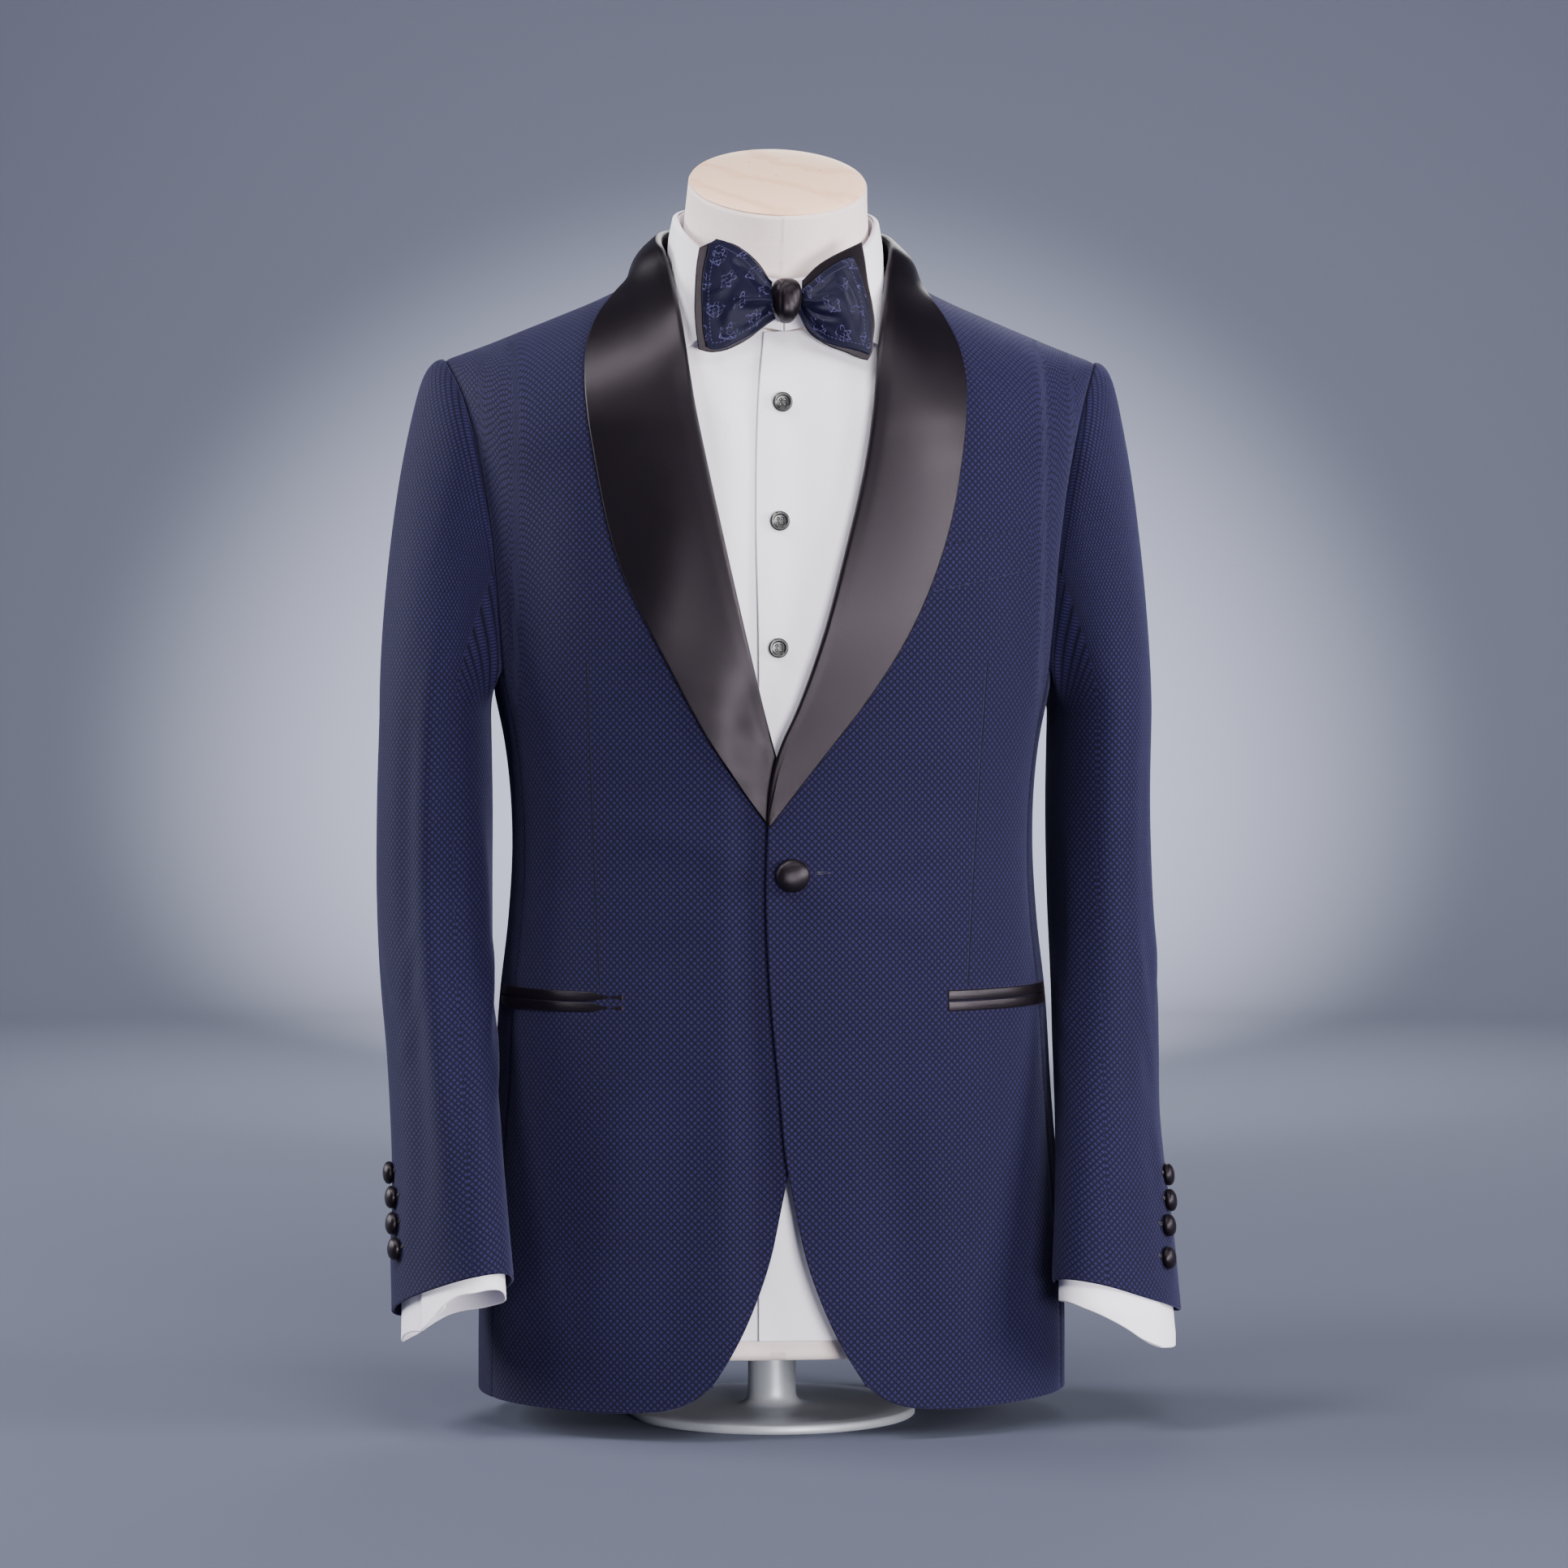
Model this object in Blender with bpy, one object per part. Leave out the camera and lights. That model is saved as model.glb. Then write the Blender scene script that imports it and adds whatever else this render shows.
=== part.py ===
"""Dinner jacket, dress shirt and bow tie worn by a limbless dress form on a low foot.

Sizes are in millimetres and are scaled to metres as each mesh is made. The wearer faces -Y, with the
wearer's left at +X and the floor at z = 0. One "body" surface, read from the BODY and SHOULDER tables,
carries every panel: a panel is a patch of it in x and z, set in or out by a few millimetres.
"""

import bpy
import numpy as np
from math import radians

MM = 0.001
CENTRE = np.array([1.9, -2.8, 0.0])  # middle of the whole over the floor, brought to the origin
NAME = "tuxedo_on_dress_form"


def table(names, *rows):
    """Rows of numbers as one array for each named column."""
    return dict(zip(names.split(), np.array(rows, float).T))


# cloth walls and the gaps between pieces
CLOTH = 1.8
SATIN = 1.5
SHIRTING = 1.0
GAP = 0.35
RIDGE_GAP = 0.4

# the jacket's outer surface: half width, front reach and back reach at each height
BODY = table(
    "z width front back",
    (10, 197, 131, 124),
    (80, 196, 129, 124),
    (150, 191, 126, 121),
    (215, 185.5, 124, 116),
    (285, 181, 122, 108),
    (335, 175.5, 120, 101),
    (372, 173.5, 119.5, 99),
    (405, 174, 120, 100),
    (450, 178.5, 122, 106),
    (490, 186.5, 124, 113),
    (540, 194, 126, 120),
    (590, 199, 125, 124),
    (640, 206, 121, 123),
    (680, 215, 117, 119),
    (720, 226, 115, 115),
    (790, 240, 113, 112),
)
FRONT_POWER = 2.3
BACK_POWER = 2.5

# the shoulder line: height of the ridge, its place front to back, and how far below it the arch reaches
SHOULDER = table(
    "x z ridge arch",
    (0, 780, -4, 110),
    (60, 779, -4, 110),
    (77, 769, -3, 108),
    (92, 758, -2, 104),
    (115, 746, 0, 98),
    (140, 735.5, 2, 92),
    (165, 725.5, 4, 86),
    (190, 715.5, 5, 78),
    (218, 705.5, 6, 68),
    (240, 698, 6, 60),
)

SEAM_SHARE = 0.965  # where the side seams stand, as a share of the half width
SEAM_TOP = 500  # height where a side seam meets the armhole
UNDERARM = 486
SHOULDER_TIP = (218, 705.5)
NECK_POINT = (77, 769)

# armhole of the jacket, seen from the front and from behind: x at each height
ARMHOLE = table(
    "z front back",
    (500, 180.8, 180.8),
    (540, 184.5, 183),
    (580, 188, 185),
    (620, 193.5, 189),
    (660, 201.5, 196),
    (685, 209, 206),
    (705.5, 218, 218),
)

# front edge from the round corner at the hem up to the lapel's foot, x measured from the centre line
FRONT_EDGE = (
    (50, 37), (38, 56), (29, 73), (20, 94), (12.5, 116), (5, 150), (-0.4, 178),
    (-5.6, 231), (-10.9, 288), (-13.5, 357), (-14.5, 396),
)
FRONT_HEM = ((50, 37), (62, 28), (76, 22.5), (95, 20), (120, 19), (150, 19.5))
HEM = 20
BACK_HEM = 18

# the shawl collar's stations: place of the roll and of the outer edge on the front, from the break up
LAPEL_OVER = table(
    "roll_x roll_z edge_x edge_z",
    (-14.5, 402, -12, 399),
    (-12, 423, 4, 420),
    (-7.3, 445, 24, 446),
    (7, 479, 51, 481),
    (20.5, 518, 76, 520),
    (36, 576, 100.5, 578),
    (49.5, 633, 112.5, 632),
    (55.5, 672, 116.5, 671),
    (58.5, 703, 116, 701),
    (62.5, 731, 108, 725),
    (68.5, 757, 98, 744),
)
LAPEL_UNDER = table(
    "roll_x roll_z edge_x edge_z",
    (-13, 380, -9, 376),
    (-8, 394, 5, 391),
    (-2, 411, 21, 411),
    (8.4, 448, 47, 449),
    (21.5, 498, 75, 500),
    (37.3, 566, 107, 568),
    (52.9, 638, 122.5, 636),
    (60, 675, 127.5, 672),
    (63.5, 703, 127.5, 702),
    (66.5, 731, 120, 726),
    (69.5, 757, 106, 745),
)
# where the same piece goes on as the collar, from the side of the neck to the centre back
COLLAR = table(
    "roll_x roll_y roll_z edge_x edge_y edge_z stand",
    (73.5, -42, 773, 98, -14, 751, 4),
    (74.5, -14, 784, 95.5, 12, 754, 10),
    (65, 14, 790, 86, 43.5, 754, 15.5),
    (38, 34, 795, 54, 70, 755, 19.5),
    (0.3, 41, 797, 0.3, 72, 756, 21.5),
)
ROLL_RADIUS = 3.2
ROLL_RADIUS_FOOT = 1.9


def smooth(knots, values, at):
    """Cubic curve through the knots, held level past its ends."""
    slopes = np.gradient(values, knots)
    at = np.clip(at, knots[0], knots[-1])
    i = np.clip(np.searchsorted(knots, at) - 1, 0, len(knots) - 2)
    step = knots[i + 1] - knots[i]
    t = (at - knots[i]) / step
    return (
        (2 * t**3 - 3 * t**2 + 1) * values[i]
        + (t**3 - 2 * t**2 + t) * step * slopes[i]
        + (3 * t**2 - 2 * t**3) * values[i + 1]
        + (t**3 - t**2) * step * slopes[i + 1]
    )


def read(rows, key, column, at):
    return smooth(rows[key], rows[column], np.asarray(at, float))


def trace(points, shares):
    """Smooth curve through points, read at shares of its length."""
    points = np.array(points, float)
    steps = np.linalg.norm(np.diff(points, axis=0), axis=1)
    run = np.concatenate(([0], np.cumsum(steps)))
    at = np.asarray(shares, float) * run[-1]
    return np.stack([smooth(run, column, at) for column in points.T], -1)


def ease(t):
    """Rises from 0 to 1 without a corner."""
    t = np.clip(t, 0, 1)
    return t * t * (3 - 2 * t)


def depth(x, z, side, inset=0.0):
    """Y of the body's front (side -1) or back (side 1), with the whole body smaller by inset."""
    x = np.abs(x)
    reach = read(BODY, "z", "front" if side < 0 else "back", z) - inset
    width = read(BODY, "z", "width", z) - inset
    power = FRONT_POWER if side < 0 else BACK_POWER
    level = reach * (1 - np.clip(x / width, 0, 1) ** power) ** (1 / power)
    below = (read(SHOULDER, "x", "z", x) - inset - z) / read(SHOULDER, "x", "arch", x)
    arch = np.sqrt(1 - (1 - np.clip(below, 0, 1)) ** 2)
    ridge = read(SHOULDER, "x", "ridge", x)
    return ridge + (side * level - ridge) * arch + side * RIDGE_GAP


def crown(x, y, inset=0.0):
    """Height of the body's top over a place seen from above."""
    x = np.abs(x)
    ridge = read(SHOULDER, "x", "ridge", x)
    height = read(SHOULDER, "x", "z", x) - inset
    side = np.where(y < ridge, -1, 1)
    reach = np.where(y < ridge, 114.0, 113.0) - inset
    power = np.where(y < ridge, FRONT_POWER, BACK_POWER)
    level = reach * (1 - np.clip(x / (235 - inset), 0, 1) ** power) ** (1 / power)
    arch = np.clip((y - ridge) / (side * level - ridge), 0, 1)
    return height - (1 - np.sqrt(1 - arch**2)) * read(SHOULDER, "x", "arch", x)


def flank(angle, z, inset=0.0):
    """Point of the body at an angle from the front, for the stretch under the arm."""
    width = read(BODY, "z", "width", z) - inset
    front = np.cos(angle) > 0
    reach = np.where(front, read(BODY, "z", "front", z), read(BODY, "z", "back", z)) - inset
    power = np.where(front, FRONT_POWER, BACK_POWER)
    x = width * np.abs(np.sin(angle)) ** (2 / power)
    y = -np.sign(np.cos(angle)) * reach * np.abs(np.cos(angle)) ** (2 / power)
    return np.stack([x, y + 0 * z, z + 0 * x], -1)


def seam_angle(side):
    """Angle from the front at which the side seam share of the half width is reached."""
    power = FRONT_POWER if side < 0 else BACK_POWER
    angle = np.arcsin(SEAM_SHARE ** (power / 2))
    return angle if side < 0 else np.pi - angle


def coons(bottom, top, left, right, shares=None):
    """Grid of x and z between four edges; bottom and top share their ends with left and right."""
    u = np.linspace(0, 1, len(bottom)) if shares is None else shares
    u = u[:, None, None]
    v = np.linspace(0, 1, len(left))[None, :, None]
    across = (1 - u) * left[None] + u * right[None]
    along = (1 - v) * bottom[:, None] + v * top[:, None]
    corners = (1 - u) * ((1 - v) * bottom[0] + v * top[0]) + u * ((1 - v) * bottom[-1] + v * top[-1])
    return across + along - corners


def normals(grid):
    """Unit normals of a grid of points."""
    cross = np.cross(np.gradient(grid, axis=0), np.gradient(grid, axis=1))
    return cross / np.maximum(np.linalg.norm(cross, axis=-1, keepdims=True), 1e-9)


# ---- objects and finishes

FINISHES = {
    "navy_cloth": ((0.020, 0.026, 0.085), 0.75, 0.0),
    "black_satin": ((0.012, 0.010, 0.012), 0.38, 0.0),
    "white_cotton": ((0.80, 0.79, 0.82), 0.85, 0.0),
    "black_button": ((0.012, 0.012, 0.014), 0.30, 0.0),
    "navy_silk": ((0.018, 0.022, 0.075), 0.45, 0.0),
    "canvas": ((0.72, 0.63, 0.58), 0.90, 0.0),
    "pale_wood": ((0.74, 0.58, 0.44), 0.60, 0.0),
    "pale_steel": ((0.46, 0.48, 0.52), 0.42, 0.6),
}


def finish(name):
    if name in bpy.data.materials:
        return bpy.data.materials[name]
    color, roughness, metallic = FINISHES[name]
    material = bpy.data.materials.new(name)
    material.use_nodes = True
    shader = material.node_tree.nodes["Principled BSDF"]
    shader.inputs["Base Color"].default_value = (*color, 1)
    shader.inputs["Roughness"].default_value = roughness
    shader.inputs["Metallic"].default_value = metallic
    return material


def add_mesh(name, points, faces, material):
    """Object from points in millimetres, in the part's collection."""
    mesh = bpy.data.meshes.new(name)
    mesh.from_pydata(((np.asarray(points) - CENTRE) * MM).tolist(), [], faces)
    mesh.validate()
    mesh.shade_smooth()
    mesh.materials.append(finish(material))
    item = bpy.data.objects.new(name, mesh)
    bpy.data.collections[NAME].objects.link(item)
    return item


def grid_faces(columns, rows, ring, flip):
    """Quads of a grid; a ring joins its last column to its first."""
    faces = []
    for i in range(columns if ring else columns - 1):
        for j in range(rows - 1):
            a, b = i * rows + j, (i + 1) % columns * rows + j
            face = (a, b, b + 1, a + 1)
            faces.append(face[::-1] if flip else face)
    return faces


def shell(name, outer, inner, material):
    """Closed cloth wall between two grids of the same size."""
    columns, rows = outer.shape[:2]
    count = columns * rows
    rim = [(i, 0) for i in range(columns)] + [(columns - 1, j) for j in range(1, rows)]
    rim += [(i, rows - 1) for i in range(columns - 2, -1, -1)] + [(0, j) for j in range(rows - 2, 0, -1)]
    rim = [i * rows + j for i, j in rim]
    faces = grid_faces(columns, rows, False, False)
    faces += [tuple(count + k for k in face[::-1]) for face in faces]
    faces += [(b, a, a + count, b + count) for a, b in zip(rim, rim[1:] + rim[:1])]
    return add_mesh(name, np.concatenate([outer.reshape(-1, 3), inner.reshape(-1, 3)]), faces, material)


def wall(name, grid, thickness, material, inside, level_top=False):
    """Cloth wall on a grid of points, its thickness set towards the inside point."""
    way = normals(grid)
    if np.sum(way * (grid - np.asarray(inside, float))) < 0:
        grid, way = grid[::-1], -way[::-1]
    if level_top:
        way[:, -1, 1] = 0
        way = way / np.linalg.norm(way, axis=-1, keepdims=True)
    return shell(name, grid, grid - way * thickness, material)


def mirrored(grid):
    return grid * np.array([-1.0, 1.0, 1.0])


# ---- jacket body

COLUMNS = 11
ROWS = 23
SEAM_ROW = 14  # row of a panel that meets the armhole's foot
BREAK_ROW = 9  # row of a front that meets the lapel's foot
ROW_SHARES = (0.10, 0.42, 0.48)
UNDER_PUSH = 4.9  # how far the right front sinks where the left one laps over it


def row_shares(count):
    """Row places from the hem up, close together towards the shoulder."""
    t = np.linspace(0, 1, count)
    even, both, top = ROW_SHARES
    return even * t + both * (1 - np.cos(np.pi * t)) / 2 + top * np.sin(np.pi * t / 2)


def side_edge(side, hem_height, rows=ROWS, seam_row=SEAM_ROW, inset=0.0, seam_share=SEAM_SHARE):
    """Outer edge of a body panel: up the side seam, then round the armhole to the shoulder tip."""
    shares = row_shares(rows)
    seam = shares[: seam_row + 1] / shares[seam_row]
    seam_z = hem_height + (SEAM_TOP - hem_height) * seam
    seam_x = (read(BODY, "z", "width", seam_z) - inset) * seam_share - GAP / 2
    arm = (shares[seam_row:] - shares[seam_row]) / (1 - shares[seam_row])
    arm_z = SEAM_TOP + (SHOULDER_TIP[1] - inset - SEAM_TOP) * arm
    arm_x = read(ARMHOLE, "z", "front" if side < 0 else "back", arm_z + inset * arm) - inset * 0.6
    arm_x = arm_x + (seam_x[-1] - arm_x[0]) * (1 - ease(arm * 3))
    return np.stack(
        [np.concatenate([seam_x, arm_x[1:]]), np.concatenate([seam_z, arm_z[1:]])], -1
    )


def shoulder_edge(start, count, inset=0.0):
    x = np.linspace(start, SHOULDER_TIP[0] - inset * 0.6, count)
    return np.stack([x, read(SHOULDER, "x", "z", x) - inset], -1)


def push_in(x, z):
    """How far the right front sinks behind the left one, x measured towards its own side."""
    across = ease((44 - x) / 26)
    return UNDER_PUSH * across * (1 - ease((z - 452) / 60)) * ease((z - 40) / 90)


def on_front(x, z, under):
    """Points of a front at own-side x and z."""
    y = depth(x, z, -1)
    if under:
        y = y + push_in(x, z)
    return np.stack([x, y, z], -1)


def jacket_front(under):
    strip = shawl_front(under)
    climb = np.linspace(0, 1, FRONT_STATIONS)
    clear = 0.8 + 1.0 * (1 - ease(climb * 4)) + 0.9 * ease(climb * 4 - 3)
    tail = strip[0] + unit(strip[0] - strip[1]) * clear[:, None]
    roll = [(x, z) for x, _, z in tail]
    edge = [p for p in FRONT_EDGE if p[1] < roll[0][1] - 6]
    rising = np.linspace(0, 1, ROWS - BREAK_ROW)
    rising = 0.3 * (1 - np.cos(np.pi * rising)) / 2 + 0.7 * np.sin(np.pi * rising / 2)
    left = np.concatenate(
        [
            trace((*edge, roll[0]), np.linspace(0, 1, BREAK_ROW + 1) ** 1.1),
            trace((*roll, NECK_POINT), rising)[1:],
        ]
    )
    right = side_edge(-1, HEM)
    hem = (*FRONT_HEM, tuple(right[0]))
    bottom = trace(hem, np.linspace(0, 1, COLUMNS))
    top = shoulder_edge(NECK_POINT[0], COLUMNS)
    patch = coons(bottom, top, left, right)
    return on_front(patch[..., 0], patch[..., 1], under)


def jacket_side():
    """The panel under the arm, its top edge dipped for the armhole."""
    z = side_edge(-1, HEM)[: SEAM_ROW + 1, 1]
    step = GAP / 2 / 60
    angles = np.linspace(seam_angle(-1) + step, seam_angle(1) - step, 5)
    dip = np.sin(np.linspace(0, np.pi, 5))
    share = ((z - HEM) / (SEAM_TOP - HEM)) ** 3
    heights = z[None] + (UNDERARM - SEAM_TOP) * dip[:, None] * share[None]
    return flank(angles[:, None] + 0 * heights, heights)


def jacket_back():
    columns = 9
    right = side_edge(1, BACK_HEM)
    heights = BACK_HEM + (770 - BACK_HEM) * row_shares(ROWS)
    left = np.stack([np.full(ROWS, GAP / 2), heights], -1)
    neck = ((GAP / 2, 770), (30, 771), (55, 773.5), (68, 774), (NECK_POINT[0] + 1, NECK_POINT[1] - 1))
    top = np.concatenate([trace(neck, np.linspace(0, 1, 5)), shoulder_edge(NECK_POINT[0] + 1, 5)[1:]])
    x = np.concatenate([np.linspace(GAP / 2, 80, 5), np.linspace(80, right[0, 0], 5)[1:]])
    bottom = np.stack([x, np.full(columns, float(BACK_HEM))], -1)
    patch = coons(bottom, top, left, right)
    x, z = patch[..., 0], patch[..., 1]
    return np.stack([x, depth(x, z, 1), z], -1)


# ---- shawl collar

ROLL_TURNS = np.radians((180, 130, 90, 45, 0))
LEAF_SHARES = (0.14, 0.4, 0.7, 1.0)
FRONT_STATIONS = 19
COLLAR_STATIONS = 8
EDGE_RISE = 2.1  # the leaf's outer edge stands this far off the front
TAIL = 2.6


def unit(vectors):
    return vectors / np.linalg.norm(vectors, axis=-1, keepdims=True)


def front_skin(x, z, under):
    """Points of a front and the body's outward directions there."""
    here = on_front(x, z, under)
    across = on_front(x + 0.5, z, under) - on_front(x - 0.5, z, under)
    up = on_front(x, z + 0.5, under) - on_front(x, z - 0.5, under)
    return here, unit(np.cross(across, up))


def rolled(centre, leaf_way, out, radius, tail_way, tail, leaf):
    """Cross sections of the shawl: the tail inside, the roll, then the leaf's points."""
    turns = [
        centre + radius * (np.cos(turn) * out - np.sin(turn) * leaf_way) for turn in ROLL_TURNS
    ]
    return np.stack([turns[0] + tail_way * tail, *turns, *leaf])


def shawl_front(under):
    lapel = LAPEL_UNDER if under else LAPEL_OVER
    pairs = np.stack([lapel[name] for name in ("roll_x", "roll_z", "edge_x", "edge_z")], -1)
    roll_x, roll_z, edge_x, edge_z = trace(pairs, np.linspace(0, 1, FRONT_STATIONS)).T
    climb = np.linspace(0, 1, FRONT_STATIONS)
    radius = ROLL_RADIUS_FOOT + (ROLL_RADIUS - ROLL_RADIUS_FOOT) * ease((climb - (0.2 if under else 0)) * 2.5)
    width = np.hypot(edge_x - roll_x, edge_z - roll_z)
    radius = np.minimum(radius, width / 3)
    skin, out = front_skin(roll_x + radius, roll_z, under)
    edge, _ = front_skin(edge_x, edge_z, under)
    leaf_way = edge - skin
    leaf_way = unit(leaf_way - out * np.sum(leaf_way * out, -1, keepdims=True))
    radius = radius[:, None]
    centre = skin + out * (radius - CLOTH)
    leaf = []
    for share in LEAF_SHARES:
        x = roll_x + radius[:, 0] + (edge_x - roll_x - radius[:, 0]) * share
        z = roll_z + (edge_z - roll_z) * share
        point, way = front_skin(x, z, under)
        low = np.minimum(EDGE_RISE + SATIN, 0.5 + SATIN + width[:, None] * 0.05)
        high = 2 * radius - CLOTH + 0.5
        leaf.append(point + way * (low + (high - low) * (1 - share) ** 1.4))
    tail = np.minimum(TAIL, width[:, None] * 0.2)
    return rolled(centre, leaf_way, out, radius, leaf_way, tail, leaf)


def shawl_collar():
    keys = np.stack([COLLAR[name] for name in COLLAR], -1)
    keys = trace(keys, np.linspace(0, 1, COLLAR_STATIONS))
    inner, edge, stand = keys[:, :3], keys[:, 3:6], keys[:, 6:7]
    edge[:, 2] = crown(edge[:, 0], edge[:, 1]) + 4.6
    leaf_way = unit(edge - inner)
    path = np.gradient(inner, axis=0)
    out = unit(np.cross(leaf_way, path))
    out = out * np.sign(np.sum(out * (edge - inner - np.array([0, 0, -60.0])), -1, keepdims=True))
    radius = np.full((len(keys), 1), ROLL_RADIUS)
    centre = inner + (out + leaf_way) * radius * 0.7
    leaf = []
    for share in LEAF_SHARES:
        start = centre + out * radius
        point = start + (edge - start) * share + out * 4 * np.sin(np.pi * share)
        point[:, 2] = np.maximum(point[:, 2], crown(point[:, 0], point[:, 1]) + 4.6)
        leaf.append(point)
    down = unit(leaf_way * np.array([0.25, 0.25, 1.0]))
    return rolled(centre, leaf_way, out, radius, down, stand, leaf)


def shawl(under):
    return np.concatenate([shawl_front(under), shawl_collar()], axis=1)


# ---- sleeves

# outer surface of the sleeve below the arm's top: inner and outer reach in x for each arm, middle in y,
# half depth in y, how far the oval is skewed, and the slope of the section from front to back and outwards
SLEEVE = table(
    "down inner outer_right outer_left y deep skew slope lean",
    (0, 187.5, 262, 256, 4, 68, 0, 0, 0),
    (65, 186.5, 264, 256, 6, 66, 2, 0, 0),
    (120, 186.5, 264, 258.5, 4, 63, 6, 0.05, 0),
    (177, 186.5, 262, 261.5, -8, 60, 11, 0.14, 0),
    (227, 185, 258, 260.5, -24, 57, 16, 0.22, 0),
    (265, 184, 256, 259.5, -38, 55, 20, 0.28, 0.02),
    (305, 182, 255, 262, -52, 53, 23, 0.32, 0.06),
    (340, 179.5, 256, 265.5, -63, 51, 25, 0.33, 0.1),
    (379, 176.5, 255.5, 268, -74, 50, 26, 0.33, 0.12),
    (402, 175.5, 256, 269, -82, 50, 26, 0.33, 0.12),
)
SLEEVE_TOP = 470
SLEEVE_LENGTH = 379
FRONT_SEAM, BACK_SEAM = 0.30, -0.21  # round the sleeve, from its outer side towards the front
CAP_ROWS = (0, 0.05, 0.12, 0.22, 0.36, 0.52, 0.68, 0.84)
TUBE_ROWS = 10


# how much further down a sleeve's hem lies, round the sleeve from its outer side to the front, inside and back
HEM_DROOP = table(
    "turn left right",
    (0.0, 5, 0), (0.1, 9, 0), (0.2, 11, 0), (0.3, 9, -1), (0.42, 6, -2), (0.5, 4, -1), (0.6, 1, 0), (0.75, 0, 0),
    (0.9, 1, 0), (1.0, 5, 0),
)


def oval(turn, down, left, inset=0.0):
    """Points of the sleeve's section at a distance down from the arm's top."""
    inner = read(SLEEVE, "down", "inner", down) + inset
    outer = read(SLEEVE, "down", "outer_left" if left else "outer_right", down) - inset
    angle = 2 * np.pi * turn
    skew = np.radians(read(SLEEVE, "down", "skew", down))
    x = (inner + outer) / 2 + (outer - inner) / 2 * np.cos(angle)
    across = -(read(SLEEVE, "down", "deep", down) - inset) * np.sin(angle - skew)
    y = read(SLEEVE, "down", "y", down) + across
    lean = read(SLEEVE, "down", "lean", down) * (x - (inner + outer) / 2)
    z = SLEEVE_TOP - down - read(SLEEVE, "down", "slope", down) * across - lean
    return np.stack([x, y, z + 0 * x], -1)


def armhole(turn, inset=0.0):
    """The armhole's edge as a closed curve, its top at turn 0, its front at a quarter."""
    fronts = side_edge(-1, HEM, inset=inset)[SEAM_ROW:][::-1]
    backs = side_edge(1, HEM, inset=inset)[SEAM_ROW:]
    front = np.stack([fronts[:, 0], depth(fronts[:, 0], fronts[:, 1], -1, inset), fronts[:, 1]], -1)
    back = np.stack([backs[:, 0], depth(backs[:, 0], backs[:, 1], 1, inset), backs[:, 1]], -1)
    angles = np.linspace(seam_angle(-1), seam_angle(1), 9)
    dip = SEAM_TOP + (UNDERARM - SEAM_TOP) * np.sin(np.linspace(0, np.pi, 9))
    under = flank(angles, dip, inset)
    loop = np.concatenate([front, under[1:-1], back])
    steps = np.linalg.norm(np.diff(loop, axis=0), axis=1)
    run = np.concatenate(([0], np.cumsum(steps)))
    low = run[len(front) + 3]
    shares = np.where(run < low, 0.5 * run / low, 0.5 + 0.5 * (run - low) / (run[-1] - low))
    turn = np.mod(turn, 1.0)
    return np.stack([np.interp(turn, shares, column) for column in loop.T], -1)


def sleeve_patch(turns, left, inset=0.0, start_out=0.75):
    """Grid of a sleeve piece between the armhole and the hem."""
    turns = np.asarray(turns, float)
    start = armhole(turns, inset) + np.array([start_out, 0, 0])
    biceps = oval(turns, np.zeros_like(turns), left, inset)
    span = np.linalg.norm(biceps - start, axis=-1, keepdims=True)
    top = np.cos(2 * np.pi * turns)
    out = np.stack(
        [
            0.35 + 0.65 * np.maximum(top, 0) - 0.2 * np.maximum(-top, 0),
            -0.45 * np.sin(2 * np.pi * turns),
            -0.55 + 0.65 * top,
        ],
        -1,
    )
    fuller = 14 if left else 28
    leave = out * np.minimum(45 + fuller * np.maximum(top, 0)[:, None], span * 0.6)
    arrive = np.array([0, 0, -1.0]) * span
    rows = []
    for t in CAP_ROWS:
        rows.append(
            (2 * t**3 - 3 * t**2 + 1) * start + (t**3 - 2 * t**2 + t) * leave
            + (3 * t**2 - 2 * t**3) * biceps + (t**3 - t**2) * arrive
        )
    droop = read(HEM_DROOP, "turn", "left" if left else "right", np.mod(turns, 1.0))
    for down in np.linspace(0, SLEEVE_LENGTH, TUBE_ROWS + 1):
        rows.append(oval(turns, down + droop * ease((down - 335) / 44), left, inset))
    return np.stack(rows, 1)


def sleeve_turns(top, count):
    gap = GAP / 300
    if top:
        return np.linspace(BACK_SEAM + gap, FRONT_SEAM - gap, count)
    return np.linspace(FRONT_SEAM + gap, 1 + BACK_SEAM - gap, count)


# ---- pockets and buttons

JET = (6.0, 0.9)  # height and how far a jet stands up from the front
POCKET_Z = 284.2
POCKET_INNER_X = 105.5
POCKET_TURN = radians(86)
WELT = ((162, 565.5), (162.5, 593), (88, 577), (88, 549.5))


def strip_on_body(low, high, rise, count):
    """Strip at a steady height round the body, from the pocket's inner end to the side."""
    start = np.arcsin((POCKET_INNER_X / read(BODY, "z", "width", low)) ** (FRONT_POWER / 2))
    angles = np.linspace(float(start), POCKET_TURN, count)
    heights = np.array([low, (low + high) / 2, high])
    grid = flank(angles[:, None] + 0 * heights, heights[None] + 0 * angles[:, None])
    out = normals(grid)
    out = out * np.sign(np.sum(out * grid))
    swell = np.array([0.0, 0.7, 0.0])[None, :, None]
    return grid + out * (rise + swell)


def welt_patch():
    columns = 6
    low = np.linspace(WELT[3], WELT[0], columns)
    high = np.linspace(WELT[2], WELT[1], columns)
    rows = np.linspace(0, 1, 3)[None, :, None]
    flat = low[:, None] * (1 - rows) + high[:, None] * rows
    skin, out = front_skin(flat[..., 0], flat[..., 1], False)
    return skin + out * (GAP + 1.1)


# sleeve buttons: their places round each sleeve, how far down the first one is and the step between them
BUTTON_TURN = {"left": (0.09, 0.1, 0.12, 0.13), "right": (0.03, 0.055, 0.065, 0.08)}
BUTTON_DOWN = {"left": 307, "right": 297}
BUTTON_STEP = 15.8


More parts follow.
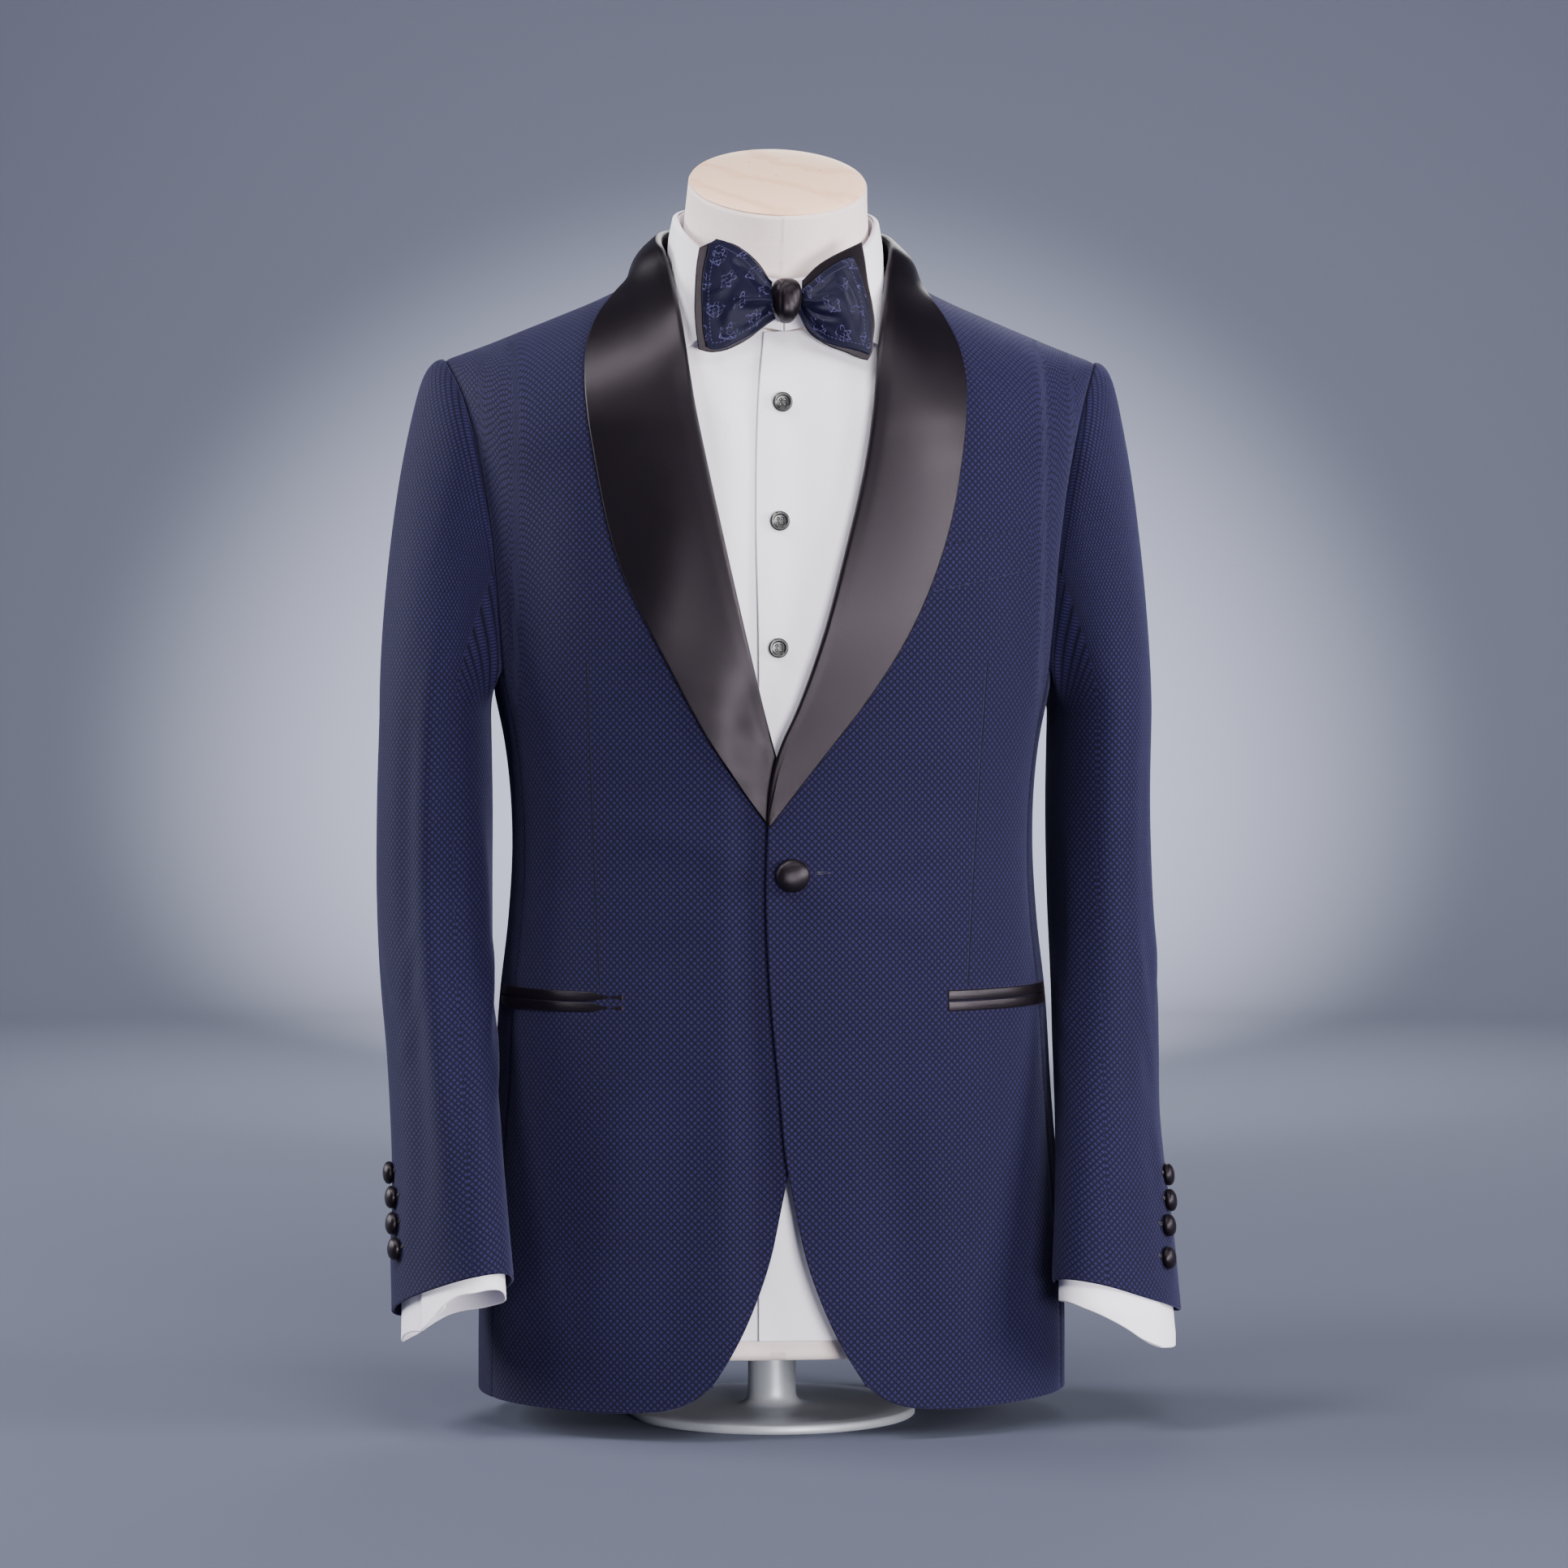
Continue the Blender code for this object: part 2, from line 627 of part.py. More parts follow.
def dome(name, place, facing, width, height, material, segments=12):
    """Covered button: a turned dome with its back flat, standing at a place and facing out."""
    radius = width / 2
    profile = [(0.5, height * 0.93), (0.85, height * 0.68), (1.0, height * 0.32), (0.9, 0)]
    facing = unit(np.asarray(facing, float))
    side = unit(np.cross(facing, (0.0, 0.0, 1.0) if abs(facing[2]) < 0.9 else (1.0, 0.0, 0.0)))
    other = np.cross(facing, side)
    points, faces = [], []
    turn = np.linspace(0, 2 * np.pi, segments, endpoint=False)
    for share, rise in profile:
        ring = place + radius * share * (np.cos(turn)[:, None] * side + np.sin(turn)[:, None] * other)
        points.append(ring + facing * rise)
    count = len(points)
    points = np.concatenate([*points, [place + facing * height], [place]])
    for k in range(count - 1):
        for i in range(segments):
            a, b = k * segments + i, k * segments + (i + 1) % segments
            faces.append((a, a + segments, b + segments, b))
    crown, back = count * segments, count * segments + 1
    for i in range(segments):
        faces.append((crown, i, (i + 1) % segments))
        last = (count - 1) * segments
        faces.append((back, last + (i + 1) % segments, last + i))
    item = add_mesh(name, points, faces, material)
    return item


# ---- shirt

SHIRT_INSET = 8.6
SHIRT_HEM = 64
SHIRT_EDGE = ((-18, 64), (-18, 250), (-18, 420), (-18.5, 520), (-20, 600), (-16.5, 690), (-13, 719))
SHIRT_NECK = ((-13, 719), (12, 720.8), (33, 726.5), (55, 741), (64, 753), (67, 763))
# extra room between jacket and shirt low down, where the jacket hangs clear
HANG = table("z room", (10, 11), (100, 8), (200, 3.5), (300, 0.6), (380, 0.6), (450, 0), (800, 0))


def shirt_depth(x, z, side, more=0.0):
    inset = SHIRT_INSET + more
    return depth(x, z, side, inset) - side * read(HANG, "z", "room", z)


def shirt_width(z, more=0.0):
    return read(BODY, "z", "width", z) - SHIRT_INSET - more - read(HANG, "z", "room", z)


def shirt_side(side, rows, seam_row):
    """Outer edge of a shirt panel: the side seam, then the armhole."""
    edge = side_edge(side, SHIRT_HEM, rows, seam_row, SHIRT_INSET, 1.0)
    seam = slice(0, seam_row + 1)
    edge[seam, 0] = shirt_width(edge[seam, 1])
    return edge


def shirt_front(under):
    columns, rows, seam_row, neck_row = 8, 19, 10, 13
    sink = 2.6 if under else 0.0
    shares = np.sin(np.linspace(0, np.pi / 2, columns)) ** 0.87
    placket = [(-x - 9, z) for x, z in SHIRT_EDGE] if under else SHIRT_EDGE
    neck = [placket[-1], *SHIRT_NECK[1 if not under else 2:]]
    left = np.concatenate(
        [
            trace(placket, 1 - (1 - np.linspace(0, 1, neck_row + 1)) ** 1.3),
            trace(neck, np.linspace(0, 1, rows - neck_row))[1:],
        ]
    )
    right = shirt_side(-1, rows, seam_row)
    x = left[-1, 0] + (right[-1, 0] - left[-1, 0]) * shares
    top = np.stack([x, read(SHOULDER, "x", "z", x) - SHIRT_INSET], -1)
    top[0], top[-1] = left[-1], right[-1]
    x = left[0, 0] + (right[0, 0] - left[0, 0]) * shares
    bottom = np.stack([x, np.full(columns, float(SHIRT_HEM))], -1)
    patch = coons(bottom, top, left, right, shares)
    x, z = patch[..., 0], patch[..., 1]
    return np.stack([x, shirt_depth(x, z, -1) + sink * ease((45 - x) / 20), z], -1)


def shirt_back():
    columns, rows, seam_row = 8, 16, 9
    shares = np.sin(np.linspace(0, np.pi / 2, columns)) ** 0.8
    right = shirt_side(1, rows, seam_row)
    heights = SHIRT_HEM + (762 - SHIRT_HEM) * row_shares(rows)
    left = np.stack([np.zeros(rows), heights], -1)
    x = right[-1, 0] * shares
    top = np.stack([x, np.minimum(read(SHOULDER, "x", "z", x) - SHIRT_INSET, 762)], -1)
    bottom = np.stack([right[0, 0] * shares, np.full(columns, float(SHIRT_HEM))], -1)
    patch = coons(bottom, top, left, right, shares)
    x, z = patch[..., 0], patch[..., 1]
    half = np.stack([x, shirt_depth(x, z, 1), z], -1)
    return np.concatenate([mirrored(half[:0:-1]), half])


BUTTON_RISE = (0.9, 0.4, 0.4)


# collar band and leaf round the neck: angle from the front, lower and upper height
NECK = table(
    "angle low fold",
    (0, 719.9, 752),
    (30, 728.6, 760),
    (56, 745, 777),
    (90, 768, 797),
    (135, 765, 808),
    (180, 763, 812),
)
BAND_LOW = (66.8, -26.2, 64.4)  # half width, middle in y, half depth
BAND_TOP = (64.9, -29.9, 61.6)
FOLD = (66.2, -30.2, 63.4)
LEAF_EDGE = table(
    "angle x y z",
    (3, 64, -98, 708),
    (38, 69.5, -80, 729),
    (68, 70.3, -52, 754),
    (95, 70.8, -14, 767),
    (140, 53, 26, 772),
    (180, 0, 40.1, 775),
)


def neck_ring(shape, angles, heights):
    half_width, middle, half_depth = shape
    return np.stack(
        [half_width * np.sin(angles), middle - half_depth * np.cos(angles), heights + 0 * angles], -1
    )


def collar_band():
    degrees = np.linspace(0.6, 359.4, 25)
    away = np.minimum(degrees, 360 - degrees)
    angles = np.radians(degrees)
    low = neck_ring(BAND_LOW, angles, read(NECK, "angle", "low", away))
    top = neck_ring(BAND_TOP, angles, read(NECK, "angle", "fold", away) - 1.3)
    return np.stack([low, top], 1)


def collar_leaf():
    """The leaf on one side, from its front edge to the centre back; both sides make one strip."""
    degrees = np.linspace(4, 180, 14)
    angles = np.radians(degrees)
    fold = read(NECK, "angle", "fold", degrees)
    top = neck_ring(FOLD, angles, fold)
    edge = np.stack([read(LEAF_EDGE, "angle", name, degrees) for name in "xyz"], -1)
    chest = shirt_depth(edge[:, 0], edge[:, 2], -1) - 1.8
    edge[:, 1] = np.where(degrees < 60, np.minimum(edge[:, 1], chest), edge[:, 1])
    wide = (FOLD[0] + 2.2, FOLD[1], FOLD[2] + 2.2)
    round_off = neck_ring(wide, angles, fold - 1.6)
    rows = [top, round_off]
    for share in (0.2, 0.6, 1.0):
        bulge = np.sin(np.pi * share) * 1.0
        point = round_off + (edge - round_off) * share
        rows.append(point + unit(round_off * np.array([1, 1, 0]) + np.array([0, 30, 0])) * bulge)
    half = np.stack(rows, 1)
    return np.concatenate([half, mirrored(half[-2::-1])])


CUFF = (352, 395)  # how far down the sleeve the cuff starts and ends
CUFF_TURNS = (0.15, 1.22)
# how much further down the cuff's edge lies, round the sleeve from its outer side to the front, inside and back
CUFF_DROOP = table(
    "turn left right",
    (0.0, 11, 4), (0.1, 20, 4), (0.15, 23, 6), (0.18, 23, 2.3), (0.21, 22, -3.2), (0.25, 18, -7.6), (0.31, 12.5, -8.1),
    (0.36, 8.5, -9), (0.42, 4, -9), (0.5, 0, -6), (0.62, -6, -9), (0.75, -10, -12), (0.88, -3, -2), (1.0, 11, 4),
    (1.05, 16, 3), (1.1, 20, 4), (1.15, 23, 6), (1.18, 23, 2.3), (1.25, 18, -7.6),
)


def cuff(left):
    turns = np.linspace(*CUFF_TURNS, 22)
    inset = (3.7 if left else 4.6) + 2.6 * (turns - turns[0]) / (turns[-1] - turns[0])
    droop = read(CUFF_DROOP, "turn", "left" if left else "right", turns)
    rows = []
    for share in (0, 0.5, 1):
        down = CUFF[0] + (CUFF[1] - CUFF[0] + droop) * share
        rows.append(oval(turns, down, left, inset))
    return np.stack(rows, 1)


# ---- bow tie

# outlines of each wing's layers, x away from the middle and z: at the knot, outside, below and above
WINGS = {
    "right": {
        "side": -1,
        "front": {
            "inner": ((7.5, 727), (9.0, 733), (9.6, 741), (9.7, 750)),
            "outer": (
                (51.4, 708.3), (53.2, 716.7), (54.2, 730.7), (54.6, 744.7), (53.7, 755.8), (51.3, 767),
                (48.7, 775), (45.6, 777.3),
            ),
            "low": (
                (7.5, 727), (12.5, 724.4), (17.1, 720.4), (24.7, 715.5), (33.1, 711.2), (41.5, 707.4),
                (47.1, 706.6), (51.4, 708.3),
            ),
            "top": (
                (9.7, 750), (13.6, 754.2), (19, 761.2), (25.6, 768), (33.1, 772.8), (41, 776.3), (45.6, 777.3),
            ),
        },
        "back": {
            "inner": ((8.0, 726.2), (9.8, 738), (10.1, 751.3)),
            "outer": ((56.8, 707), (58.2, 716.9), (59.3, 730.9), (59.1, 744.8), (57.7, 763.5), (56.2, 772)),
            "low": ((8.0, 726.2), (14, 722), (24.4, 713.9), (31.9, 709.6), (41.3, 706), (50.7, 705.3), (56.8, 707)),
            "top": ((10.1, 751.3), (16.9, 761.6), (26.3, 770), (35.6, 775), (47, 775.8), (56.2, 772)),
        },
    },
    "left": {
        "side": 1,
        "front": {
            "inner": ((8.5, 731), (9.9, 736), (10.4, 741), (10.5, 744.8)),
            "outer": (
                (53.4, 704), (54.3, 712.6), (54.3, 726.6), (52.9, 736), (50.5, 745.3), (46.7, 757.4), (43, 766.5),
            ),
            "low": (
                (8.5, 731), (10.8, 725.4), (15.7, 718.4), (23.2, 713), (32.6, 709.3), (42.1, 707.4),
                (47.7, 706), (53.4, 704),
            ),
            "top": ((10.5, 744.8), (15.7, 749.5), (21.3, 754.7), (27.9, 759.6), (34.5, 763.6), (43, 766.5)),
        },
        "back": {
            "inner": ((8.6, 730), (10.2, 738), (10.6, 751.5)),
            "outer": (
                (52.7, 700.4), (54.8, 704.4), (56.2, 714.7), (57.1, 722.2), (55.6, 736.2), (52.9, 749.3),
                (50.8, 764.2), (48.6, 776),
            ),
            "low": (
                (8.6, 730), (10.9, 724.8), (15.5, 717.7), (23, 712.2), (32, 707.8), (39.5, 705.2), (48, 701.6),
                (52.7, 700.4),
            ),
            "top": ((10.6, 751.5), (20.7, 761.4), (30.1, 767.2), (39.5, 771.8), (48.6, 776)),
        },
    },
}
KNOT = {"centre": (0.2, -104.5, 738.5), "half": (10.4, 13.2, 14.6), "taper": 0.38}


def wing(which, back):
    """Grid of one layer of a wing, from the knot out, bottom to top."""
    shape = WINGS[which]
    cut = shape["back" if back else "front"]
    across, up = np.linspace(0, 1, 9), np.linspace(0, 1, 7)
    patch = coons(trace(cut["low"], across), trace(cut["top"], across), trace(cut["inner"], up), trace(cut["outer"], up))
    x, z = patch[..., 0], patch[..., 1]
    u, v = across[:, None], up[None, :]
    crown = np.sin(np.pi * np.clip(u * 0.9 + 0.1, 0, 1)) * np.sin(np.pi * v) * 4.5
    if back:
        y = -107.3 + 2.4 * (1 - u) ** 1.5 - 0.45 * crown - 2.0 * u
    else:
        y = -109.5 - np.cos(3 * np.pi * (v - 0.5)) * (1 - u) ** 1.5 * 2.4 - crown - 2.0 * u
    return np.stack([x * shape["side"], y, z], -1)


def knot():
    """A small cushion with rounded corners."""
    segments, rings = 14, 9
    turn = np.linspace(0, 2 * np.pi, segments, endpoint=False)[:, None]
    lift = np.linspace(-np.pi / 2, np.pi / 2, rings + 2)[None, 1:-1]
    sphere = np.stack(
        [np.cos(turn) * np.cos(lift), np.sin(turn) * np.cos(lift), np.sin(lift) + 0 * turn], -1
    )
    square = np.sign(sphere) * np.abs(sphere) ** 0.72
    square[..., 0] *= 1 - KNOT["taper"] * ((1 - square[..., 2]) / 2) ** 2.2
    grid = np.array(KNOT["centre"]) + np.array(KNOT["half"]) * square
    faces = grid_faces(segments, rings, True, False)
    faces.append(tuple(i * rings for i in range(segments))[::-1])
    faces.append(tuple(i * rings + rings - 1 for i in range(segments)))
    return add_mesh("bow_knot", grid.reshape(-1, 3), faces, "black_satin")


# ---- dress form

FORM_CLEAR = SHIRT_INSET + SHIRTING + 4.5
FORM_BOTTOM = 50
FORM_TOP = 735
FORM_COLUMNS = 28
NECK_RINGS = table(
    "y z tilt half_width half_depth",
    (-27.5, 751.5, 17.5, 66, 56.5),
    (-27, 767.5, 20, 63.2, 56.5),
    (-29, 783, 23.5, 61.8, 57.8),
    (-35.7, 802, 26.2, 60.2, 58.8),
    (-44.5, 819.5, 26.5, 58.8, 58.6),
)
CAP_TILT = radians(26.5)
CAP_RADIUS = 58.4
CAP_BASE = (0, -44.5, 819.5)
CAP_PROFILE = ((0, 9.5), (0.35, 8.8), (0.65, 6.8), (0.86, 4.2), (0.96, 2.2), (0.995, 0.9), (0.985, 0))
FOOT_PROFILE = ((96, 0), (96, 4.5), (94.5, 6), (20, 8), (16, 12), (16, 49.6))  # round plate and slim column


def form_ring(z, angles):
    inset = FORM_CLEAR + read(HANG, "z", "room", z) + 2.4 * ease((z - 620) / 60)
    x = np.linspace(0, 240, 241)
    ridge = x[read(SHOULDER, "x", "z", x) - inset > z]
    reach = min(float(read(BODY, "z", "width", z) - inset), float(ridge[-1]) if len(ridge) else 0)
    front = np.cos(angles) > 0
    power = np.where(front, FRONT_POWER, BACK_POWER)
    across = reach * np.sign(np.sin(angles)) * np.abs(np.sin(angles)) ** (2 / power)
    z = np.full_like(across, z)
    y = np.where(front, depth(across, z, -1, inset), depth(across, z, 1, inset))
    return np.stack([across, y, z], -1)


def form_body():
    angles = np.linspace(0, 2 * np.pi, FORM_COLUMNS, endpoint=False)
    rings = []
    foot = form_ring(FORM_BOTTOM + 6, angles)
    for lift, shrink in ((0, 0.955), (1.6, 0.985)):
        ring = foot * np.array([shrink, shrink, 1])
        ring[:, 2] = FORM_BOTTOM + lift
        rings.append(ring)
    for z in (56, 120, 200, 280, 340, 400, 460, 530, 590, 640, 672, 692, 708, 722, FORM_TOP):
        rings.append(form_ring(z, angles))
    for y, z, tilt, half_width, half_depth in zip(*NECK_RINGS.values()):
        tilt = np.radians(tilt)
        along = -half_depth * np.cos(angles)
        rings.append(
            np.stack([half_width * np.sin(angles), y + along * np.cos(tilt), z + along * np.sin(tilt)], -1)
        )
    grid = np.stack(rings, 1)
    rows = grid.shape[1]
    faces = grid_faces(FORM_COLUMNS, rows, True, False)
    faces.append(tuple(i * rows for i in range(FORM_COLUMNS))[::-1])
    faces.append(tuple(i * rows + rows - 1 for i in range(FORM_COLUMNS)))
    return add_mesh("form_body", grid.reshape(-1, 3), faces, "canvas")


def turned(name, profile, segments, material, base=(0, 0, 0), tilt=0.0):
    """Closed turned body from a profile of radius and height, leaning forward by a tilt."""
    angles = np.linspace(0, 2 * np.pi, segments, endpoint=False)
    up = np.array([0, -np.sin(tilt), np.cos(tilt)])
    ahead = np.array([0, np.cos(tilt), np.sin(tilt)])
    rings = [
        np.array(base, float) + up * h
        + r * (np.cos(angles)[:, None] * np.array([1.0, 0, 0]) + np.sin(angles)[:, None] * ahead)
        for r, h in profile
    ]
    grid = np.stack(rings, 1)
    rows = grid.shape[1]
    faces = grid_faces(segments, rows, True, False)
    faces.append(tuple(i * rows for i in range(segments))[::-1])
    faces.append(tuple(i * rows + rows - 1 for i in range(segments)))
    return add_mesh(name, grid.reshape(-1, 3), faces, material)


def form_cap():
    profile = [(CAP_RADIUS * max(share, 0.03), rise + GAP) for share, rise in CAP_PROFILE[::-1]]
    return turned("form_cap", profile, 28, "pale_wood", CAP_BASE, CAP_TILT)


# ---- the whole

def jacket():
    centre = (0, 0, 400)
    for hand, sign in (("left", 1), ("right", -1)):
        under = hand == "right"
        place = (lambda grid: grid) if sign > 0 else mirrored
        wall(f"jacket_front_{hand}", place(jacket_front(under)), CLOTH, "navy_cloth", centre, True)
        wall(f"jacket_side_{hand}", place(jacket_side()), CLOTH, "navy_cloth", centre)
        wall(f"jacket_back_{hand}", place(jacket_back()), CLOTH, "navy_cloth", centre, True)
        for top, part in ((True, "top"), (False, "under")):
            sleeve_wall(f"sleeve_{part}_{hand}", sleeve_turns(top, 9 if top else 8), hand)
        shawl_wall(f"shawl_{hand}", place(shawl(under)))
        for part, low in (("lower", POCKET_Z - JET[0] - 0.5), ("upper", POCKET_Z + 0.5)):
            strip = strip_on_body(low, low + JET[0], GAP + 0.25 + JET[1], 9)
            wall(f"jet_{part}_{hand}", place(strip), JET[1], "black_satin", centre)
    wall("breast_welt", welt_patch(), 1.1, "navy_cloth", centre)
    button_skin, button_out = front_skin(np.array(2.8), np.array(367.0), False)
    dome("front_button", button_skin + button_out * 0.8, button_out, 22, 8, "black_satin", 16)
    for hand in ("left", "right"):
        grid = sleeve_patch(sleeve_turns(True, 9), hand == "left")
        if hand == "right":
            grid = mirrored(grid)
        for i in range(4):
            spot, out = on_grid(grid, BUTTON_TURN[hand][i], BUTTON_DOWN[hand] + BUTTON_STEP * i)
            dome(f"cuff_button_{hand}_{i + 1}", spot + out * 0.35, out, 15, 6.2, "black_satin", 10)


def on_grid(grid, turn, down):
    """Place on a top sleeve's flat facets, and the facet's outward direction."""
    u = (turn - BACK_SEAM) / (FRONT_SEAM - BACK_SEAM) * (grid.shape[0] - 1)
    v = len(CAP_ROWS) + down / SLEEVE_LENGTH * TUBE_ROWS
    i, j = int(u), int(v)
    a, b, c, d = grid[i, j], grid[i + 1, j], grid[i, j + 1], grid[i + 1, j + 1]
    spot = (a * (1 - u + i) + b * (u - i)) * (1 - v + j) + (c * (1 - u + i) + d * (u - i)) * (v - j)
    out = unit(np.cross(b + d - a - c, c + d - a - b))
    return spot, out * np.sign(out[0] * spot[0])


def sleeve_wall(name, turns, hand):
    """A sleeve piece, its wall set inwards; a column more on each side gives the seams their lean."""
    turns = np.concatenate([[turns[0] - 0.05], turns, [turns[-1] + 0.05]])
    grid = sleeve_patch(turns, hand == "left")
    way = normals(grid)[1:-1]
    grid = grid[1:-1]
    way = way * np.sign(np.sum(way[:, -1] * (grid[:, -1] - np.mean(grid[:, -1], axis=0))))
    if hand == "right":
        grid, way = mirrored(grid[::-1]), mirrored(way[::-1])
    return shell(name, grid, grid - way * CLOTH, "navy_cloth")


def shawl_wall(name, grid):
    """The shawl's leaf faces out from the wearer; its wall lies on the roll's inner side."""
    way = normals(grid)
    if np.mean(way[-2, : FRONT_STATIONS, 1]) > 0:
        grid, way = grid[::-1], -way[::-1]
    return shell(name, grid, grid - way * SATIN, "black_satin")


def shirt():
    centre = (0, 0, 400)
    wall("shirt_front_left", shirt_front(False), SHIRTING, "white_cotton", centre, True)
    wall("shirt_front_right", mirrored(shirt_front(True)), SHIRTING, "white_cotton", centre, True)
    wall("shirt_back", shirt_back(), SHIRTING, "white_cotton", centre, True)
    wall("shirt_collar_band", collar_band(), SHIRTING, "white_cotton", (0, -28, 760))
    wall("shirt_collar_leaf", collar_leaf(), 1.1, "white_cotton", (0, -28, 740))
    for hand in ("left", "right"):
        left = hand == "left"
        grid = cuff(left)
        middle = np.mean(grid, axis=(0, 1))
        grid, middle = (grid, middle) if left else (mirrored(grid), mirrored(middle))
        wall(f"shirt_cuff_{hand}", grid, 1.3, "white_cotton", middle)
    for i, (x, z) in enumerate(((-2.6, 673), (-5, 596), (-6, 514))):
        place = np.array([x, float(shirt_depth(x, z, -1)) - BUTTON_RISE[i], z])
        dome(f"shirt_button_{i + 1}", place, (0, -1, 0), 13, 2.4, "black_button", 14)


def bow():
    for which in ("left", "right"):
        for back, layer, material in ((False, "front", "navy_silk"), (True, "back", "black_satin")):
            wall(f"bow_{layer}_{which}", wing(which, back), 1.0, material, (0, 0, 740))
    knot()


def clear_scene():
    for item in list(bpy.data.objects):
        bpy.data.objects.remove(item)
    group = bpy.data.collections.new(NAME)
    bpy.context.scene.collection.children.link(group)


clear_scene()
jacket()
shirt()
bow()
form_body()
form_cap()
turned("form_foot", FOOT_PROFILE, 32, "pale_steel")
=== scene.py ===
from math import pi, radians

import bpy
import numpy as np
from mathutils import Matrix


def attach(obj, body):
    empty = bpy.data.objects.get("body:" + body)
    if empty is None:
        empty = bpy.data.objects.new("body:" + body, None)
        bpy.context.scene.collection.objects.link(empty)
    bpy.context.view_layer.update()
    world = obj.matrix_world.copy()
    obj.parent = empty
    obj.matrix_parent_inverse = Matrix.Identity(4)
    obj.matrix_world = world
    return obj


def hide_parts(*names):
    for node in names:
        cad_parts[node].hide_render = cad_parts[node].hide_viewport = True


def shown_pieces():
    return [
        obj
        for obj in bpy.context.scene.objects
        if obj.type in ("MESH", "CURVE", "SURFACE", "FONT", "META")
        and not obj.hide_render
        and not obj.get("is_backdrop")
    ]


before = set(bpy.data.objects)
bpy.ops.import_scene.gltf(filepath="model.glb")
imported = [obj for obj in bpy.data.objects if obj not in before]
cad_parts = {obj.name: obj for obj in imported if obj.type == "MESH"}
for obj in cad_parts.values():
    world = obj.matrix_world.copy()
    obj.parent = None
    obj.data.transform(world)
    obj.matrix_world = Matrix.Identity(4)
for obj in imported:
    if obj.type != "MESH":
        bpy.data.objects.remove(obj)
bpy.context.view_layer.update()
print("frame loaded:", len(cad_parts), "solids")

# Lengths are millimetres in the cutter's own coordinates: the wearer faces -Y, the left hand is at +X and
# the floor is z = 0. They become metres, moved over the frame's middle, as each mesh is filled.
middle = np.array([1.9, -2.8, 0.0])


def columnsOf(names, *rows):  # rows of numbers as one array for each named column
    return dict(zip(names.split(), np.array(rows, float).T))


cutting = {"cloth": 1.8, "satin": 1.5, "shirting": 1.0, "gap": 0.35, "ridgeGap": 0.4, "fine": 8}

# the jacket's outer surface: half width, front reach and back reach at each height
body = columnsOf(
    "z width front back",
    (10, 197, 131, 124), (80, 196, 129, 124), (150, 191, 126, 121), (215, 185.5, 124, 116),
    (285, 181, 122, 108), (335, 175.5, 120, 101), (372, 173.5, 119.5, 99), (405, 174, 120, 100),
    (450, 178.5, 122, 106), (490, 186.5, 124, 113), (540, 194, 126, 120), (590, 199, 125, 124),
    (640, 206, 121, 123), (680, 215, 117, 119), (720, 226, 115, 115), (790, 240, 113, 112),
)
bodyPower = {-1: 2.3, 1: 2.5}  # how square the front (-1) and the back (1) are across

# the shoulder line: height of the ridge, its place front to back, how far below it the arch reaches
shoulder = columnsOf(
    "x z ridge arch",
    (0, 780, -4, 110), (60, 779, -4, 110), (77, 769, -3, 108), (92, 758, -2, 104), (115, 746, 0, 98),
    (140, 735.5, 2, 92), (165, 725.5, 4, 86), (190, 715.5, 5, 78), (218, 705.5, 6, 68), (240, 698, 6, 60),
)
seams = {"share": 0.965, "top": 500, "underarm": 486, "tip": (218, 705.5), "neck": (77, 769)}
shoulderTop = {"front": 114.0, "back": 113.0, "width": 235}  # the body's reach and half width seen from above
armEdge = columnsOf(
    "z front back",
    (500, 180.8, 180.8), (540, 184.5, 183), (580, 188, 185), (620, 193.5, 189), (660, 201.5, 196),
    (685, 209, 206), (705.5, 218, 218),
)


# a cubic through the knots, level past its ends: the Hermite curve with slopes from the neighbours
def smooth(knots, values, at):
    slopes = np.gradient(values, knots)
    at = np.clip(at, knots[0], knots[-1])
    i = np.clip(np.searchsorted(knots, at) - 1, 0, len(knots) - 2)
    step = knots[i + 1] - knots[i]
    t = (at - knots[i]) / step
    return (
        (2 * t**3 - 3 * t**2 + 1) * values[i] + (t**3 - 2 * t**2 + t) * step * slopes[i]
        + (3 * t**2 - 2 * t**3) * values[i + 1] + (t**3 - t**2) * step * slopes[i + 1]
    )


def read(rows, key, column, at):
    return smooth(rows[key], rows[column], np.asarray(at, float))


# a smooth curve through points, read at shares of its length
def trace(points, shares):
    points = np.array(points, float)
    run = np.concatenate(([0], np.cumsum(np.linalg.norm(np.diff(points, axis=0), axis=1))))
    return np.stack([smooth(run, column, np.asarray(shares, float) * run[-1]) for column in points.T], -1)


def ease(t):  # from 0 to 1 with no corner: 3t^2 - 2t^3
    t = np.clip(t, 0, 1)
    return t * t * (3 - 2 * t)


def unit(vectors):
    return vectors / np.maximum(np.linalg.norm(vectors, axis=-1, keepdims=True), 1e-9)


def normalsOf(grid):  # cross product of the two directions of a grid
    return unit(np.cross(np.gradient(grid, axis=0), np.gradient(grid, axis=1)))


def mirrored(grid):
    return grid * np.array([-1.0, 1.0, 1.0])


# y of the body: a superellipse across, drawn in to the shoulder's ridge by a quarter circle's arch
def depth(x, z, side, inset=0.0):
    x = np.abs(x)
    reach = read(body, "z", "front" if side < 0 else "back", z) - inset
    width = read(body, "z", "width", z) - inset
    power = bodyPower[side]
    level = reach * (1 - np.clip(x / width, 0, 1) ** power) ** (1 / power)
    below = (read(shoulder, "x", "z", x) - inset - z) / read(shoulder, "x", "arch", x)
    arch = np.sqrt(1 - (1 - np.clip(below, 0, 1)) ** 2)
    ridge = read(shoulder, "x", "ridge", x)
    return ridge + (side * level - ridge) * arch + side * cutting["ridgeGap"]


